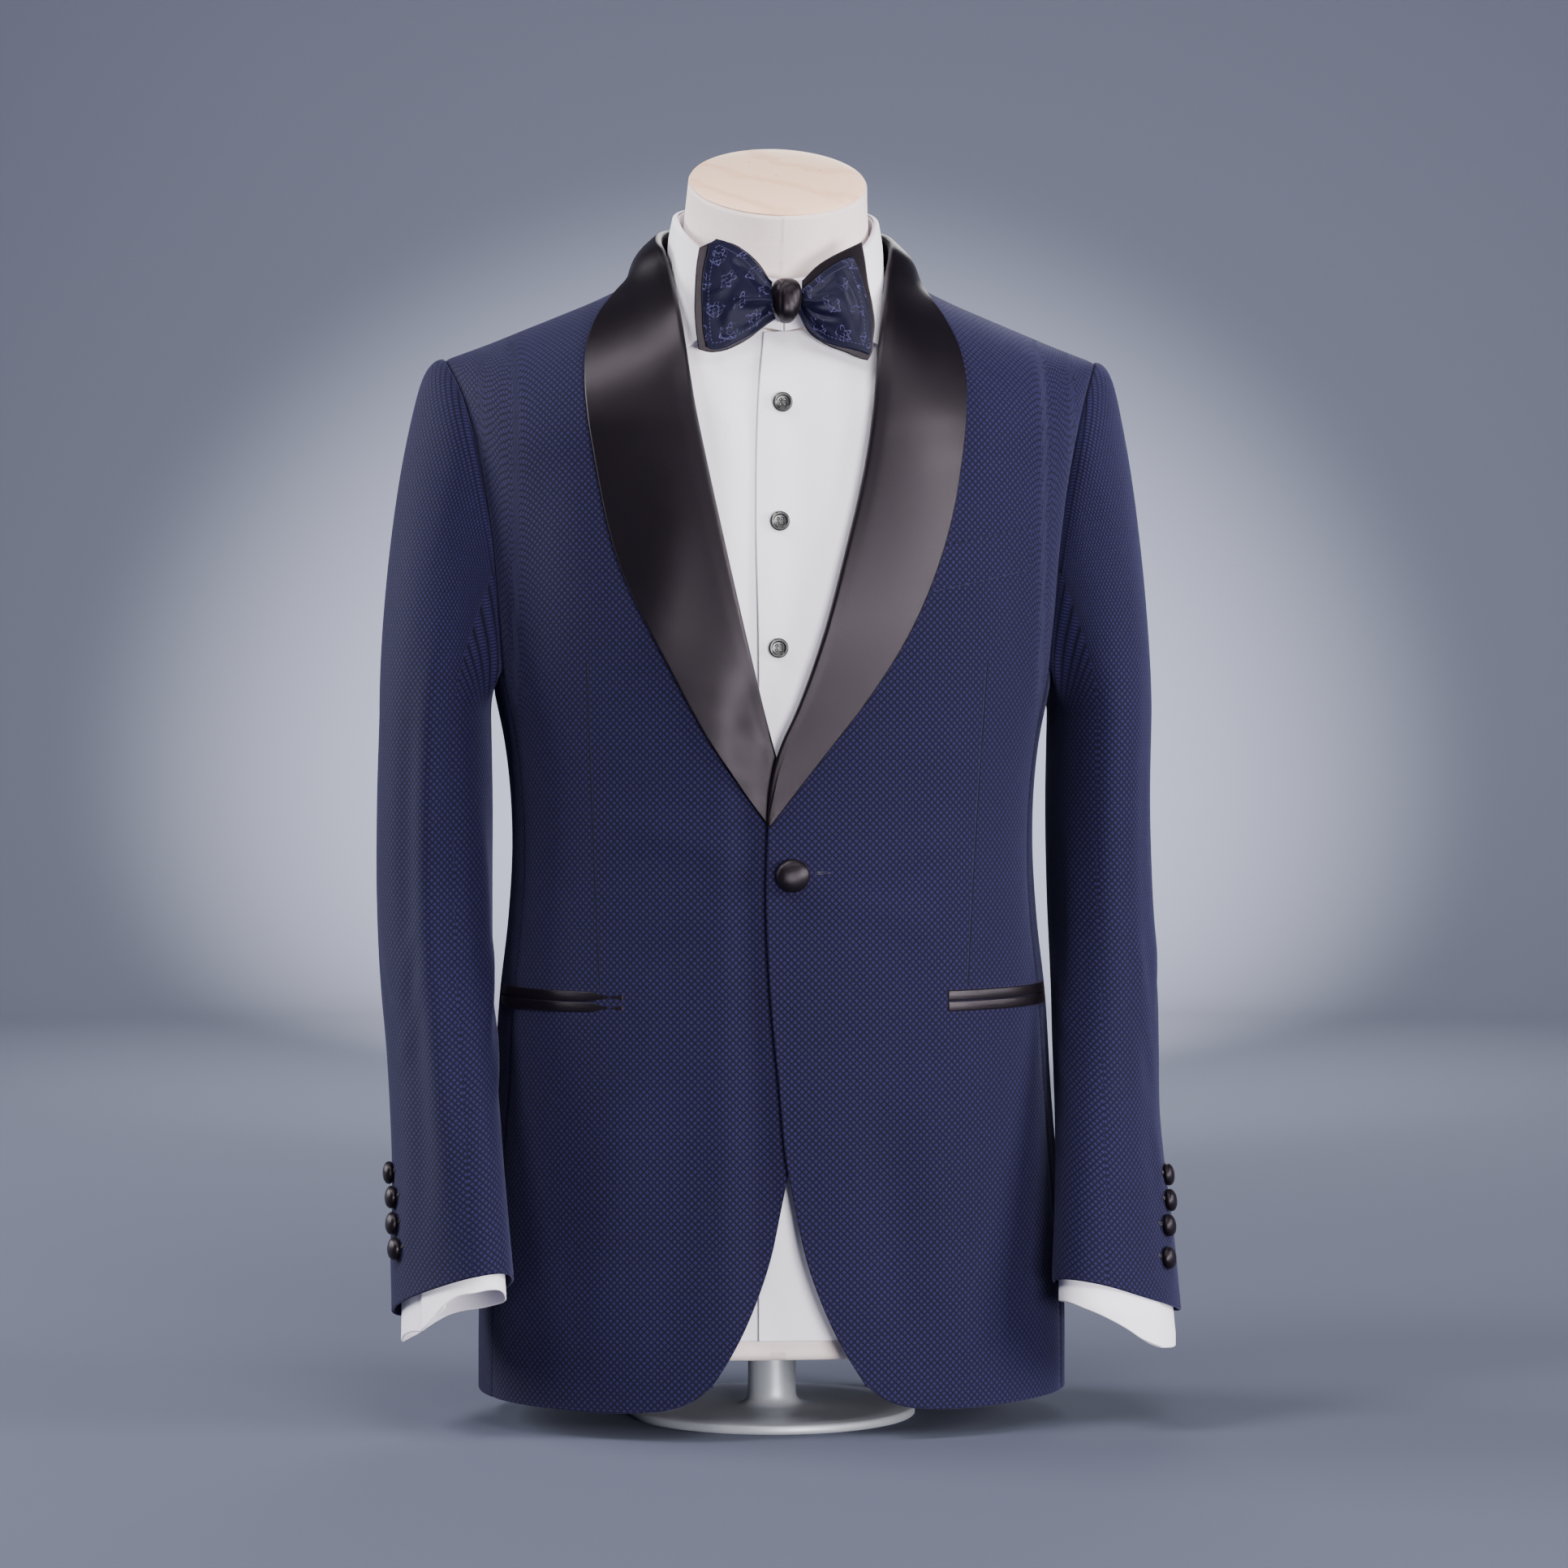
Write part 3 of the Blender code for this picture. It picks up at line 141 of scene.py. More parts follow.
# z of the shoulders over a place seen from above: the same arch read the other way
def crown(x, y):
    x = np.abs(x)
    ridge = read(shoulder, "x", "ridge", x)
    side = np.where(y < ridge, -1, 1)
    reach = np.where(y < ridge, shoulderTop["front"], shoulderTop["back"])
    power = np.where(y < ridge, bodyPower[-1], bodyPower[1])
    level = reach * (1 - np.clip(x / shoulderTop["width"], 0, 1) ** power) ** (1 / power)
    arch = np.clip((y - ridge) / (side * level - ridge), 0, 1)
    return read(shoulder, "x", "z", x) - (1 - np.sqrt(1 - arch**2)) * read(shoulder, "x", "arch", x)


# a point of the body by its angle from the front: the superellipse's own angle
def flank(angle, z, inset=0.0):
    width = read(body, "z", "width", z) - inset
    front = np.cos(angle) > 0
    reach = np.where(front, read(body, "z", "front", z), read(body, "z", "back", z)) - inset
    power = np.where(front, bodyPower[-1], bodyPower[1])
    x = width * np.abs(np.sin(angle)) ** (2 / power)
    y = -np.sign(np.cos(angle)) * reach * np.abs(np.cos(angle)) ** (2 / power)
    return np.stack([x, y + 0 * z, z + 0 * x], -1)


def seamAngle(side):
    angle = np.arcsin(seams["share"] ** (bodyPower[side] / 2))
    return angle if side < 0 else pi - angle


# a patch between four edges: the two ruled patches added, less the one through the corners
def coons(bottom, top, left, right, shares=None):
    u = (np.linspace(0, 1, len(bottom)) if shares is None else shares)[:, None, None]
    v = np.linspace(0, 1, len(left))[None, :, None]
    corners = (1 - u) * ((1 - v) * bottom[0] + v * top[0]) + u * ((1 - v) * bottom[-1] + v * top[-1])
    return (1 - u) * left[None] + u * right[None] + (1 - v) * bottom[:, None] + v * top[:, None] - corners


# soft folds: each runs from one place to another, a ridge (or a trough, below 0) shaped as a bell across its
# width with a shallower opposite one beside it, and it dies away at its ends
def folded(x, z, folds):
    total = np.zeros(np.broadcast(x, z).shape)
    for x0, z0, x1, z1, width, height, bow in folds:
        length = np.hypot(x1 - x0, z1 - z0)
        run = ((x - x0) * (x1 - x0) + (z - z0) * (z1 - z0)) / length**2
        off = ((x - x0) * (z1 - z0) - (z - z0) * (x1 - x0)) / length + bow * np.sin(pi * np.clip(run, 0, 1))
        bell = np.exp(-(off / width) ** 2) - 0.45 * np.exp(-(((off - 1.9 * width) / (1.25 * width)) ** 2))
        total = total + height * bell * ease((run + 0.12) / 0.4) * ease((1.12 - run) / 0.4)
    return total


# running length along an axis of a grid, zero at one of its lines
def runOf(grid, axis, zero=0):
    steps = np.linalg.norm(np.diff(grid, axis=axis), axis=-1)
    run = np.concatenate([np.zeros_like(np.take(steps, [0], axis)), np.cumsum(steps, axis)], axis)
    return run - np.take(run, [zero], axis)


# meshes

def fillMesh(name, points, quads, tris=None, uv=None, line=None):
    mesh = bpy.data.meshes.new(name)
    corners = quads.ravel() if tris is None else np.concatenate([quads.ravel(), tris.ravel()])
    starts = np.arange(len(quads)) * 4
    if tris is not None:
        starts = np.concatenate([starts, len(quads) * 4 + np.arange(len(tris)) * 3])
    mesh.vertices.add(len(points))
    mesh.vertices.foreach_set("co", ((points - middle) * 0.001).astype(np.float32).ravel())
    mesh.loops.add(len(corners))
    mesh.loops.foreach_set("vertex_index", corners.astype(np.int32))
    mesh.polygons.add(len(starts))
    mesh.polygons.foreach_set("loop_start", starts.astype(np.int32))
    mesh.update(calc_edges=True)
    mesh.shade_smooth()
    if uv is not None:
        layer = mesh.uv_layers.new(name="weave")
        layer.data.foreach_set("uv", uv[corners].astype(np.float32).ravel())
    if line is not None:
        mesh.attributes.new("line", "FLOAT", "POINT").data.foreach_set("value", line.astype(np.float32))
    item = bpy.data.objects.new(name, mesh)
    bpy.context.scene.collection.objects.link(item)
    return item


def gridQuads(columns, rows, ring=False):
    i = np.arange(columns if ring else columns - 1)[:, None]
    j = np.arange(rows - 1)[None, :]
    a, b = i * rows + j, (i + 1) % columns * rows + j
    return np.stack([a, b, b + 1, a + 1], -1).reshape(-1, 4)


# puts a finished piece in the frame: its look, what it rides on, and the solids that it stands for
def dress(item, material, slot, *nodes):
    item.data.materials.append(material)
    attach(item, "root")
    if nodes:
        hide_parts(*nodes)
    return item


# lines close to each border, so that its rounding stays narrow
def edgeLines(grid, steps=(0.5, 1.6)):
    for axis in (0, 1):
        grid = np.moveaxis(grid, axis, 0)
        for _ in range(2):
            gap = np.mean(np.linalg.norm(grid[1, :, :3] - grid[0, :, :3], axis=-1))
            near = [grid[0] + (grid[1] - grid[0]) * step / gap for step in steps if step < gap * 0.8]
            grid = np.concatenate([grid[:1], np.array(near), grid[1:]])[::-1] if near else grid[::-1]
        grid = np.moveaxis(grid, 0, axis)
    return grid


sheets = {}  # what each cloth piece was cut to, with the trimmings that go with it


# A cloth wall. The outer side is the grid; the inner side lies a thickness behind it along the normals; a ring
# pushed out by part of the thickness rounds the edge. Near a seam the outer side sinks: pinch * exp(-(d/w)^2).
def clothPiece(name, grid, thickness, look, inside, nodes, held, restsOn, uv=None, line=None,
               pinch=(0, 0, 0, 0), levelTop=False, ways=None, turned=0.0):
    material, slot = look
    if uv is None:
        uv = np.stack([runOf(grid, 0, grid.shape[0] // 2), runOf(grid, 1)], -1) * 0.001
    line = np.full(grid.shape[:2], 99.0) if line is None else line
    fields = [grid, uv, line[..., None]] + ([ways] if ways is not None else [])
    fields = edgeLines(np.concatenate(fields, -1))
    points = fields[..., :3]
    way = unit(fields[..., 6:9]) if ways is not None else normalsOf(points)
    if inside is not None and np.sum(way * (points - np.asarray(inside, float))) < 0:
        fields, points, way = fields[::-1], points[::-1], -way[::-1]
        pinch = (pinch[1], pinch[0], pinch[2], pinch[3])
    if levelTop:
        way[:, -1, 1] = 0
        way = unit(way)
    size = sheetSize(points)
    sink = np.zeros(points.shape[:2])
    for amount, axis, zero in zip(pinch, (0, 0, 1, 1), (0, -1, 0, -1)):  # first and last column, first and last row
        if amount:
            away = np.abs(runOf(points, axis, zero))
            sink = sink + amount * np.exp(-((away / 2.4) ** 2))
    points = points - way * sink[..., None]
    hem = np.abs(runOf(points, 1, 0))
    wall = (thickness + turned * ease((26 - hem) / 2))[..., None]
    inner = points - way * wall
    columns, rows = points.shape[:2]
    out = np.zeros_like(points)
    out[0] += unit(points[0] - points[1])
    out[-1] += unit(points[-1] - points[-2])
    out[:, 0] += unit(points[:, 0] - points[:, 1])
    out[:, -1] += unit(points[:, -1] - points[:, -2])
    rim = np.concatenate([
        np.arange(columns) * rows, (columns - 1) * rows + np.arange(1, rows),
        np.arange(columns - 2, -1, -1) * rows + rows - 1, np.arange(rows - 2, 0, -1),
    ])
    outer, inner, count = points.reshape(-1, 3), inner.reshape(-1, 3), columns * rows
    ring = (outer[rim] + inner[rim]) / 2 + unit(out.reshape(-1, 3)[rim]) * min(thickness, 1.6) * 0.42
    quads = gridQuads(columns, rows)
    after = np.roll(rim, -1)
    k = np.arange(len(rim)) + 2 * count
    kAfter = np.roll(k, -1)
    quads = np.concatenate([
        quads, quads[:, ::-1] + count,
        np.stack([after, rim, k, kAfter], -1), np.stack([kAfter, k, rim + count, after + count], -1),
    ])
    uv, line = fields[..., 3:5].reshape(-1, 2), fields[..., 5].ravel()
    item = fillMesh(
        name, np.concatenate([outer, inner, ring]), quads, uv=np.concatenate([uv, uv, uv[rim]]),
        line=np.concatenate([line, line, line[rim]]),
    )
    dress(item, material, slot, *nodes)
    if held:
        sheets[name] = {"item": item, "size": size, "held": held, "restsOn": restsOn, "with": []}
    return item


# a piece's cut: the longest run across and along, and the area of its cells
def sheetSize(grid):
    across = np.max(runOf(grid, 0)[-1]) * 0.001
    along = np.max(runOf(grid, 1)[:, -1]) * 0.001
    a, b = np.diff(grid, axis=0), np.diff(grid, axis=1)
    cells = np.cross((a[:, 1:] + a[:, :-1]) / 2, (b[1:] + b[:-1]) / 2)
    area = float(np.sum(np.linalg.norm(cells, axis=-1))) * 1e-6
    return float(across), float(along), min(area, float(across * along))


# a grid of columns round an axis, closed by a fan at each end: its points, quads and triangles
def closedEnds(grid, low, high):
    columns, rows = grid.shape[:2]
    first = np.arange(columns) * rows
    after, end = np.roll(first, -1), columns * rows
    tris = np.concatenate([
        np.stack([after, first, np.full(columns, end)], -1),
        np.stack([first + rows - 1, after + rows - 1, np.full(columns, end + 1)], -1),
    ])
    return np.concatenate([grid.reshape(-1, 3), [low, high]]), gridQuads(columns, rows, True), tris


def resampled(grid, count):  # a cubic through the places along a grid's second axis
    knots = np.arange(grid.shape[1], dtype=float)
    flat = grid.transpose(1, 0, 2).reshape(len(knots), -1)
    at = np.linspace(0, knots[-1], count)
    return np.stack([smooth(knots, column, at) for column in flat.T], -1).reshape(count, -1, 3).transpose(1, 0, 2)


# a turned body: the profile's radius and height carried round an axis
def turnedBody(profile, segments, base=(0, 0, 0), up=(0, 0, 1), side=(1, 0, 0)):
    up, side = unit(np.array(up, float)), unit(np.array(side, float))
    other = np.cross(up, side)
    angles = np.linspace(0, 2 * pi, segments, endpoint=False)
    radius, height = np.array(profile, float).T
    spokes = np.cos(angles)[:, None, None] * side + np.sin(angles)[:, None, None] * other
    grid = np.array(base, float) + spokes * radius[None, :, None] + up * height[None, :, None]
    return closedEnds(grid, base + up * height[0], base + up * height[-1])


# many small thread stitches in one mesh: each a little capsule laid along a way
def stitches(name, places, ways, outs, length, width, material, slot):
    places, ways, outs = (np.asarray(a, float).reshape(-1, 3) for a in (places, ways, outs))
    ways, outs = unit(ways), unit(outs)
    sides = np.cross(ways, outs)
    along = np.array([-0.5, -0.42, 0, 0.42, 0.5]) * length
    swell = np.array([0.05, 0.75, 1, 0.75, 0.05]) * width / 2
    turn = np.linspace(0, 2 * pi, 6, endpoint=False)
    lift = np.array([0.0, 0.15, 0.3, 0.15, 0.0]) * width
    grid = (
        places[:, None, None] + ways[:, None, None] * along[None, None, :, None]
        + sides[:, None, None] * (np.cos(turn)[:, None] * swell)[None, ..., None]
        + outs[:, None, None] * (np.sin(turn)[:, None] * swell + lift)[None, ..., None]
    )
    count = 6 * 5
    quads = gridQuads(6, 5, True)[None] + (np.arange(len(places)) * count)[:, None, None]
    fan = np.array([[0, 5 * i, 5 * (i + 1)] for i in range(1, 5)])
    fan = np.concatenate([fan[:, ::-1], fan + 4])
    tris = (fan[None] + (np.arange(len(places)) * count)[:, None, None]).reshape(-1, 3)
    item = fillMesh(name, grid.reshape(-1, 3), quads.reshape(-1, 4)[:, ::-1], tris[:, ::-1])
    return dress(item, material, slot)


# looks

class Wire:
    # a shader socket that takes part in sums: each operator adds one Math node
    def __init__(self, net, socket):
        self.net, self.socket = net, socket

    def __add__(self, other): return self.net.maths("ADD", self, other)
    def __radd__(self, other): return self.net.maths("ADD", other, self)
    def __sub__(self, other): return self.net.maths("SUBTRACT", self, other)
    def __rsub__(self, other): return self.net.maths("SUBTRACT", other, self)
    def __mul__(self, other): return self.net.maths("MULTIPLY", self, other)
    def __rmul__(self, other): return self.net.maths("MULTIPLY", other, self)
    def __truediv__(self, other): return self.net.maths("DIVIDE", self, other)
    def __rtruediv__(self, other): return self.net.maths("DIVIDE", other, self)


class Look:
    # one material and its nodes
    def __init__(self, name, **fixed):
        self.material = bpy.data.materials.new(name)
        self.material.use_nodes = True
        self.tree = self.material.node_tree
        self.shader = self.tree.nodes["Principled BSDF"]
        for socket, value in fixed.items():
            self.shader.inputs[socket.replace("_", " ")].default_value = value

    def node(self, kind, settings=None, sockets=None, out=0):
        made = self.tree.nodes.new("ShaderNode" + kind)
        for key, value in (settings or {}).items():
            if key == "stops":
                while len(made.color_ramp.elements) < len(value):
                    made.color_ramp.elements.new(0.5)
                for element, (place, color) in zip(made.color_ramp.elements, value):
                    element.position, element.color = place, (*color, 1)
            else:
                setattr(made, key, value)
        for key, value in (sockets or {}).items():
            if isinstance(value, Wire):
                self.tree.links.new(value.socket, made.inputs[key])
            else:
                made.inputs[key].default_value = value
        return Wire(self, made.outputs[out])

    def maths(self, operation, *values, clamp=False):
        return self.node("Math", {"operation": operation, "use_clamp": clamp}, dict(enumerate(values)))

    def step(self, value, low, high):  # 0 below low, 1 above high, smooth between
        return self.node("MapRange", {"interpolation_type": "SMOOTHSTEP"}, {0: value, 1: low, 2: high, 3: 0.0, 4: 1.0})

    def blend(self, share, first, second, mode="MIX"):
        colors = [value if isinstance(value, Wire) else (*value, 1) for value in (first, second)]
        settings = {"data_type": "RGBA", "blend_type": mode}
        return self.node("Mix", settings, {0: share, 6: colors[0], 7: colors[1]}, 2)

    def noise(self, vector, scale, detail=2.0, rough=0.5):
        return self.node("TexNoise", None, {"Vector": vector, "Scale": scale, "Detail": detail, "Roughness": rough})

    def weave(self):  # the cloth's own two directions, in millimetres
        place = self.node("UVMap", {"uv_map": "weave"})
        parts = self.tree.nodes.new("ShaderNodeSeparateXYZ")
        self.tree.links.new(place.socket, parts.inputs[0])
        return Wire(self, parts.outputs[0]) * 1000.0, Wire(self, parts.outputs[1]) * 1000.0

    def object(self):
        return self.node("TexCoord", None, None, "Object")

    def height(self, place):
        parts = self.tree.nodes.new("ShaderNodeSeparateXYZ")
        self.tree.links.new(place.socket, parts.inputs[0])
        return Wire(self, parts.outputs[2])

    def bump(self, height, reach, strength=1.0, under=None):
        sockets = {"Strength": strength, "Distance": reach, "Height": height}
        if under is not None:
            sockets["Normal"] = under
        return self.node("Bump", None, sockets)

    def feed(self, **sockets):
        for socket, value in sockets.items():
            self.tree.links.new(value.socket, self.shader.inputs[socket.replace("_", " ")])
        return self.material


navy = {"pitch": 4.5, "dark": (0.0020, 0.0017, 0.0090), "light": (0.0185, 0.0145, 0.0720), "thread": 0.62}


# lozenge weave: two sets of slanting lines, (s + t) / pitch and (s - t) / pitch, with a raised square between
def navyCloth():
    look = Look("navyCloth", Roughness=0.72, Sheen_Weight=0.12, Sheen_Roughness=0.38,
                Sheen_Tint=(0.50, 0.50, 0.90, 1), Specular_IOR_Level=0.14)
    s, t = look.weave()
    place = look.object()
    wander = look.noise(place, 45.0, 3.0)
    a = look.maths("PINGPONG", (s + t) / navy["pitch"] + wander * 0.10, 0.5) * 2.0
    b = look.maths("PINGPONG", (s - t) / navy["pitch"] + wander * 0.10, 0.5) * 2.0
    lineA = look.step(a, 0.34, 0.08)
    lineB = look.step(b, 0.34, 0.08)
    lines = look.maths("MAXIMUM", lineA, lineB)
    square = look.step(a, 0.30, 1.0) * look.step(b, 0.30, 1.0)
    warp = look.maths("SINE", s * (2 * pi / navy["thread"]))
    weft = look.maths("SINE", t * (2 * pi / navy["thread"]))
    threads = warp * weft
    fuzz = look.noise(place, 900.0, 3.0, 0.65)
    broad = look.noise(place, 9.0, 2.0)
    tone = look.maths("ADD", 0.36 + square * 0.50 + threads * 0.10 + (fuzz - 0.5) * 0.50 + (broad - 0.5) * 0.20,
                      lines * -0.46, clamp=True)
    color = look.blend(tone, navy["dark"], navy["light"])
    attribute = look.node("Attribute", {"attribute_name": "line"}, None, "Fac")
    level = look.height(place)
    sewn = look.step(look.maths("ABSOLUTE", attribute), 0.75, 0.15) * look.step(level, 0.507, 0.502)
    sewn = sewn * look.step(level, 0.290, 0.296)
    color = look.blend(sewn, color, (0.002, 0.0025, 0.010))
    height = square * 0.6 - lines * 0.5 + threads * 0.22 + (fuzz - 0.5) * 0.5 - sewn * 2.5
    return look.feed(
        Base_Color=color, Roughness=0.66 + fuzz * 0.18 + lines * 0.08,
        Normal=look.bump(height, 0.00022, 0.9),
    )


# satin: fine threads run one way, with a soft uneven gloss
def blackSatin():
    look = Look("blackSatin", Specular_IOR_Level=0.22, Specular_Tint=(1.0, 0.86, 1.0, 1), Sheen_Weight=0.03,
                Sheen_Roughness=0.35, Sheen_Tint=(0.66, 0.50, 0.66, 1))
    s, t = look.weave()
    place = look.object()
    grain = look.noise(place, 1100.0, 2.0, 0.6)
    broad = look.noise(place, 14.0, 3.0)
    threads = look.maths("SINE", (s + t * 0.25) * (2 * pi / 0.42))
    tone = 0.5 + (grain - 0.5) * 0.9 + (broad - 0.5) * 0.5
    color = look.blend(tone, (0.0018, 0.0013, 0.0022), (0.0050, 0.0034, 0.0056))
    return look.feed(
        Base_Color=color, Roughness=0.34 + (grain - 0.5) * 0.10 + (broad - 0.5) * 0.08,
        Normal=look.bump(threads * 0.25 + grain * 0.8, 0.00009, 0.7),
    )


# poplin: a plain weave, warp times weft, on a faintly lilac white
def whiteCotton():
    look = Look("whiteCotton", Sheen_Weight=0.08, Specular_IOR_Level=0.25)
    s, t = look.weave()
    place = look.object()
    threads = look.maths("SINE", s * (2 * pi / 0.55)) * look.maths("SINE", t * (2 * pi / 0.55))
    slub = look.noise(place, 380.0, 3.0)
    broad = look.noise(place, 11.0, 2.0)
    color = look.blend(0.5 + (broad - 0.5) * 0.9 + (slub - 0.5) * 0.3, (0.76, 0.72, 0.82), (0.86, 0.82, 0.90))
    return look.feed(
        Base_Color=color, Roughness=0.78 + (slub - 0.5) * 0.15,
        Normal=look.bump(threads * 0.5 + slub * 0.6, 0.00008, 0.6),
    )


def blackButton():
    look = Look("blackButton", Specular_IOR_Level=0.55)
    place = look.object()
    swirl = look.noise(place, 260.0, 4.0, 0.6)
    color = look.blend(swirl, (0.003, 0.003, 0.004), (0.010, 0.009, 0.011))
    return look.feed(Base_Color=color, Roughness=0.20 + swirl * 0.18, Normal=look.bump(swirl, 0.00005, 0.5))


figures = {"cell": 17.0, "turns": 3.2, "petals": 5.0, "band": 4.2}


# figured silk: in staggered cells a spiral, frac(r * turns + angle), meets petals, sin(petals * angle); thin pale
# lines follow both, and a dashed line runs inside the edge
def navySilk():
    look = Look("navySilk", Specular_IOR_Level=0.13, Specular_Tint=(0.80, 0.80, 1.0, 1), Sheen_Weight=0.08,
                Sheen_Roughness=0.3, Sheen_Tint=(0.5, 0.52, 0.85, 1))
    s, t = look.weave()
    place = look.object()
    wander = look.noise(place, 60.0, 2.0)
    cell = figures["cell"]
    row = look.maths("FLOOR", t / cell)
    stagger = look.maths("MODULO", look.maths("ABSOLUTE", row), 2.0) * 0.5
    u = look.maths("FRACT", s / cell + stagger + (wander - 0.5) * 0.5) - 0.5
    v = look.maths("FRACT", t / cell + (wander - 0.5) * 0.3) - 0.5
    radius = look.maths("SQRT", u * u + v * v)
    angle = look.maths("ARCTAN2", v, u)
    spiral = look.maths("PINGPONG", radius * figures["turns"] * 2.0 + angle / (2 * pi) + wander, 0.5)
    petal = look.maths("ABSOLUTE", radius - 0.24 - 0.09 * look.maths("SINE", angle * figures["petals"] + wander * 9.0))
    whorl = look.step(spiral, 0.10, 0.02) * look.step(radius, 0.36, 0.26)
    thin = look.maths("MAXIMUM", whorl, look.step(petal, 0.030, 0.008))
    broken = look.step(look.noise(place, 240.0, 2.0), 0.42, 0.56)
    thin = thin * broken
    threads = look.maths("SINE", (s - t * 0.6) * (2 * pi / 0.38))
    grain = look.noise(place, 900.0, 2.0)
    ground = look.blend(0.5 + threads * 0.18 + (grain - 0.5) * 0.8, (0.0016, 0.0016, 0.0068), (0.0060, 0.0052, 0.0210))
    edge = look.node("Attribute", {"attribute_name": "line"}, None, "Fac")
    dash = look.step(look.maths("SINE", (s + t) * (2 * pi / 2.6)), -0.2, 0.3)
    band = look.step(look.maths("ABSOLUTE", edge), 0.5, 0.15) * dash * 0.6
    pale = look.maths("MAXIMUM", thin, band)
    color = look.blend(pale * 0.85, ground, (0.070, 0.064, 0.150))
    return look.feed(
        Base_Color=color, Roughness=0.36 + pale * 0.18 + (grain - 0.5) * 0.12,
        Normal=look.bump(threads * 0.25 + grain * 0.5 + pale * 1.4, 0.0001, 0.8),
    )


# canvas: warp times weft along the form's own map, unbleached and a little pink
def canvas():
    look = Look("canvas", Specular_IOR_Level=0.25, Sheen_Weight=0.06)
    s, t = look.weave()
    place = look.object()
    threads = look.maths("SINE", s * (2 * pi / 0.8)) * look.maths("SINE", t * (2 * pi / 0.8))
    slub = look.noise(place, 300.0, 3.0, 0.6)
    broad = look.noise(place, 12.0, 3.0)
    color = look.blend(0.5 + (slub - 0.5) * 0.7 + (broad - 0.5) * 0.7, (0.80, 0.66, 0.64), (0.92, 0.80, 0.79))
    return look.feed(
        Base_Color=color, Roughness=0.84 + (slub - 0.5) * 0.12,
        Normal=look.bump(threads * 0.6 + slub * 0.6, 0.00012, 0.7),
    )


wood = {"centre": (0.019, 0.030, 0.0), "ring": 0.0052}


# turned pale wood: arcs about a centre beside the cap, frac(distance / ring), with pores and a few dark flecks
def paleWood():
    look = Look("paleWood", Specular_IOR_Level=0.4, Coat_Weight=0.12, Coat_Roughness=0.3)
    place = look.object()
    wander = look.noise(place, 26.0, 3.0)
    beside = (-wood["centre"][0], -wood["centre"][1], 0)
    moved = look.node("Mapping", {"vector_type": "POINT"}, {"Vector": place, "Location": beside, "Scale": (1, 1, 0.3)})
    away = look.node("VectorMath", {"operation": "LENGTH"}, {0: moved}, "Value")
    ring = look.maths("PINGPONG", away / wood["ring"] + wander * 1.4, 0.5) * 2.0
    late = look.step(ring, 0.55, 1.0)
    grain = look.noise(look.node("Mapping", None, {"Vector": place, "Scale": (900, 160, 160)}), 1.0, 3.0, 0.6)
    fleck = look.step(look.noise(place, 170.0, 2.0), 0.73, 0.77)
    color = look.blend(late * 0.55 + (grain - 0.5) * 0.5, (0.90, 0.60, 0.43), (0.76, 0.42, 0.25))
    color = look.blend(fleck * 0.6, color, (0.24, 0.15, 0.10))
    return look.feed(
        Base_Color=color, Roughness=0.46 + late * 0.10 + (grain - 0.5) * 0.14,
        Normal=look.bump(late * 0.4 + grain * 0.6 - fleck, 0.00012, 0.6),
    )


# painted steel: a fine orange-peel noise, a little worn brighter in patches
def paleSteel():
    look = Look("paleSteel", Metallic=0.35, Specular_IOR_Level=0.5)
    place = look.object()
    peel = look.noise(place, 700.0, 2.0, 0.5)
    worn = look.noise(place, 30.0, 4.0, 0.6)
    color = look.blend(worn, (0.30, 0.315, 0.36), (0.40, 0.415, 0.455))
    return look.feed(Base_Color=color, Roughness=0.38 + worn * 0.16, Normal=look.bump(peel, 0.00006, 0.5))


def threadOf(name, dark, light):
    look = Look(name, Specular_IOR_Level=0.3, Sheen_Weight=0.3)
    twist = look.noise(look.object(), 1500.0, 2.0)
    return look.feed(Base_Color=look.blend(twist, dark, light), Roughness=0.6 + twist * 0.2,
                     Normal=look.bump(twist, 0.0001, 0.6))


looks = {
    "navy": (navyCloth(), "navy_cloth"), "satin": (blackSatin(), "black_satin"),
    "cotton": (whiteCotton(), "white_cotton"), "button": (blackButton(), "black_button"),
    "silk": (navySilk(), "navy_silk"), "canvas": (canvas(), "canvas"), "wood": (paleWood(), "pale_wood"),
    "steel": (paleSteel(), "pale_steel"),
    "navyThread": (threadOf("navyThread", (0.006, 0.006, 0.02), (0.022, 0.021, 0.058)), "navy_cloth"),
    "blackThread": (threadOf("blackThread", (0.003, 0.003, 0.005), (0.014, 0.013, 0.018)), "black_satin"),
    "whiteThread": (threadOf("whiteThread", (0.55, 0.54, 0.56), (0.75, 0.74, 0.76)), "white_cotton"),
}
print("looks made:", len(looks))


# jacket fronts, sides and backs

# folds of each front: from x, z to x, z, half width, height (below 0 a trough) and bow; x towards its own side
frontFolds = {
    "right": [
        (122, 520, 118, 40, 34, 3.4, 0), (158, 640, 164, 480, 13, -1.6, 3), (100, 250, 128, 40, 16, 1.5, 6),
        (60, 240, 84, 40, 15, -1.1, -5), (30, 374, 112, 402, 11, 0.9, 3), (28, 354, 104, 328, 11, 0.8, -4),
        (70, 640, 96, 500, 18, 1.3, -4),
    ],
    "left": [
        (124, 520, 122, 40, 34, 2.8, 0), (154, 600, 162, 470, 13, -1.3, -3), (92, 240, 120, 40, 16, 1.3, -6),
        (54, 220, 74, 40, 15, -1.0, 4), (34, 368, 112, 396, 11, 1.0, -3), (30, 352, 100, 326, 10, 0.8, 4),
        (150, 680, 128, 610, 14, 1.5, -4),
    ],
}
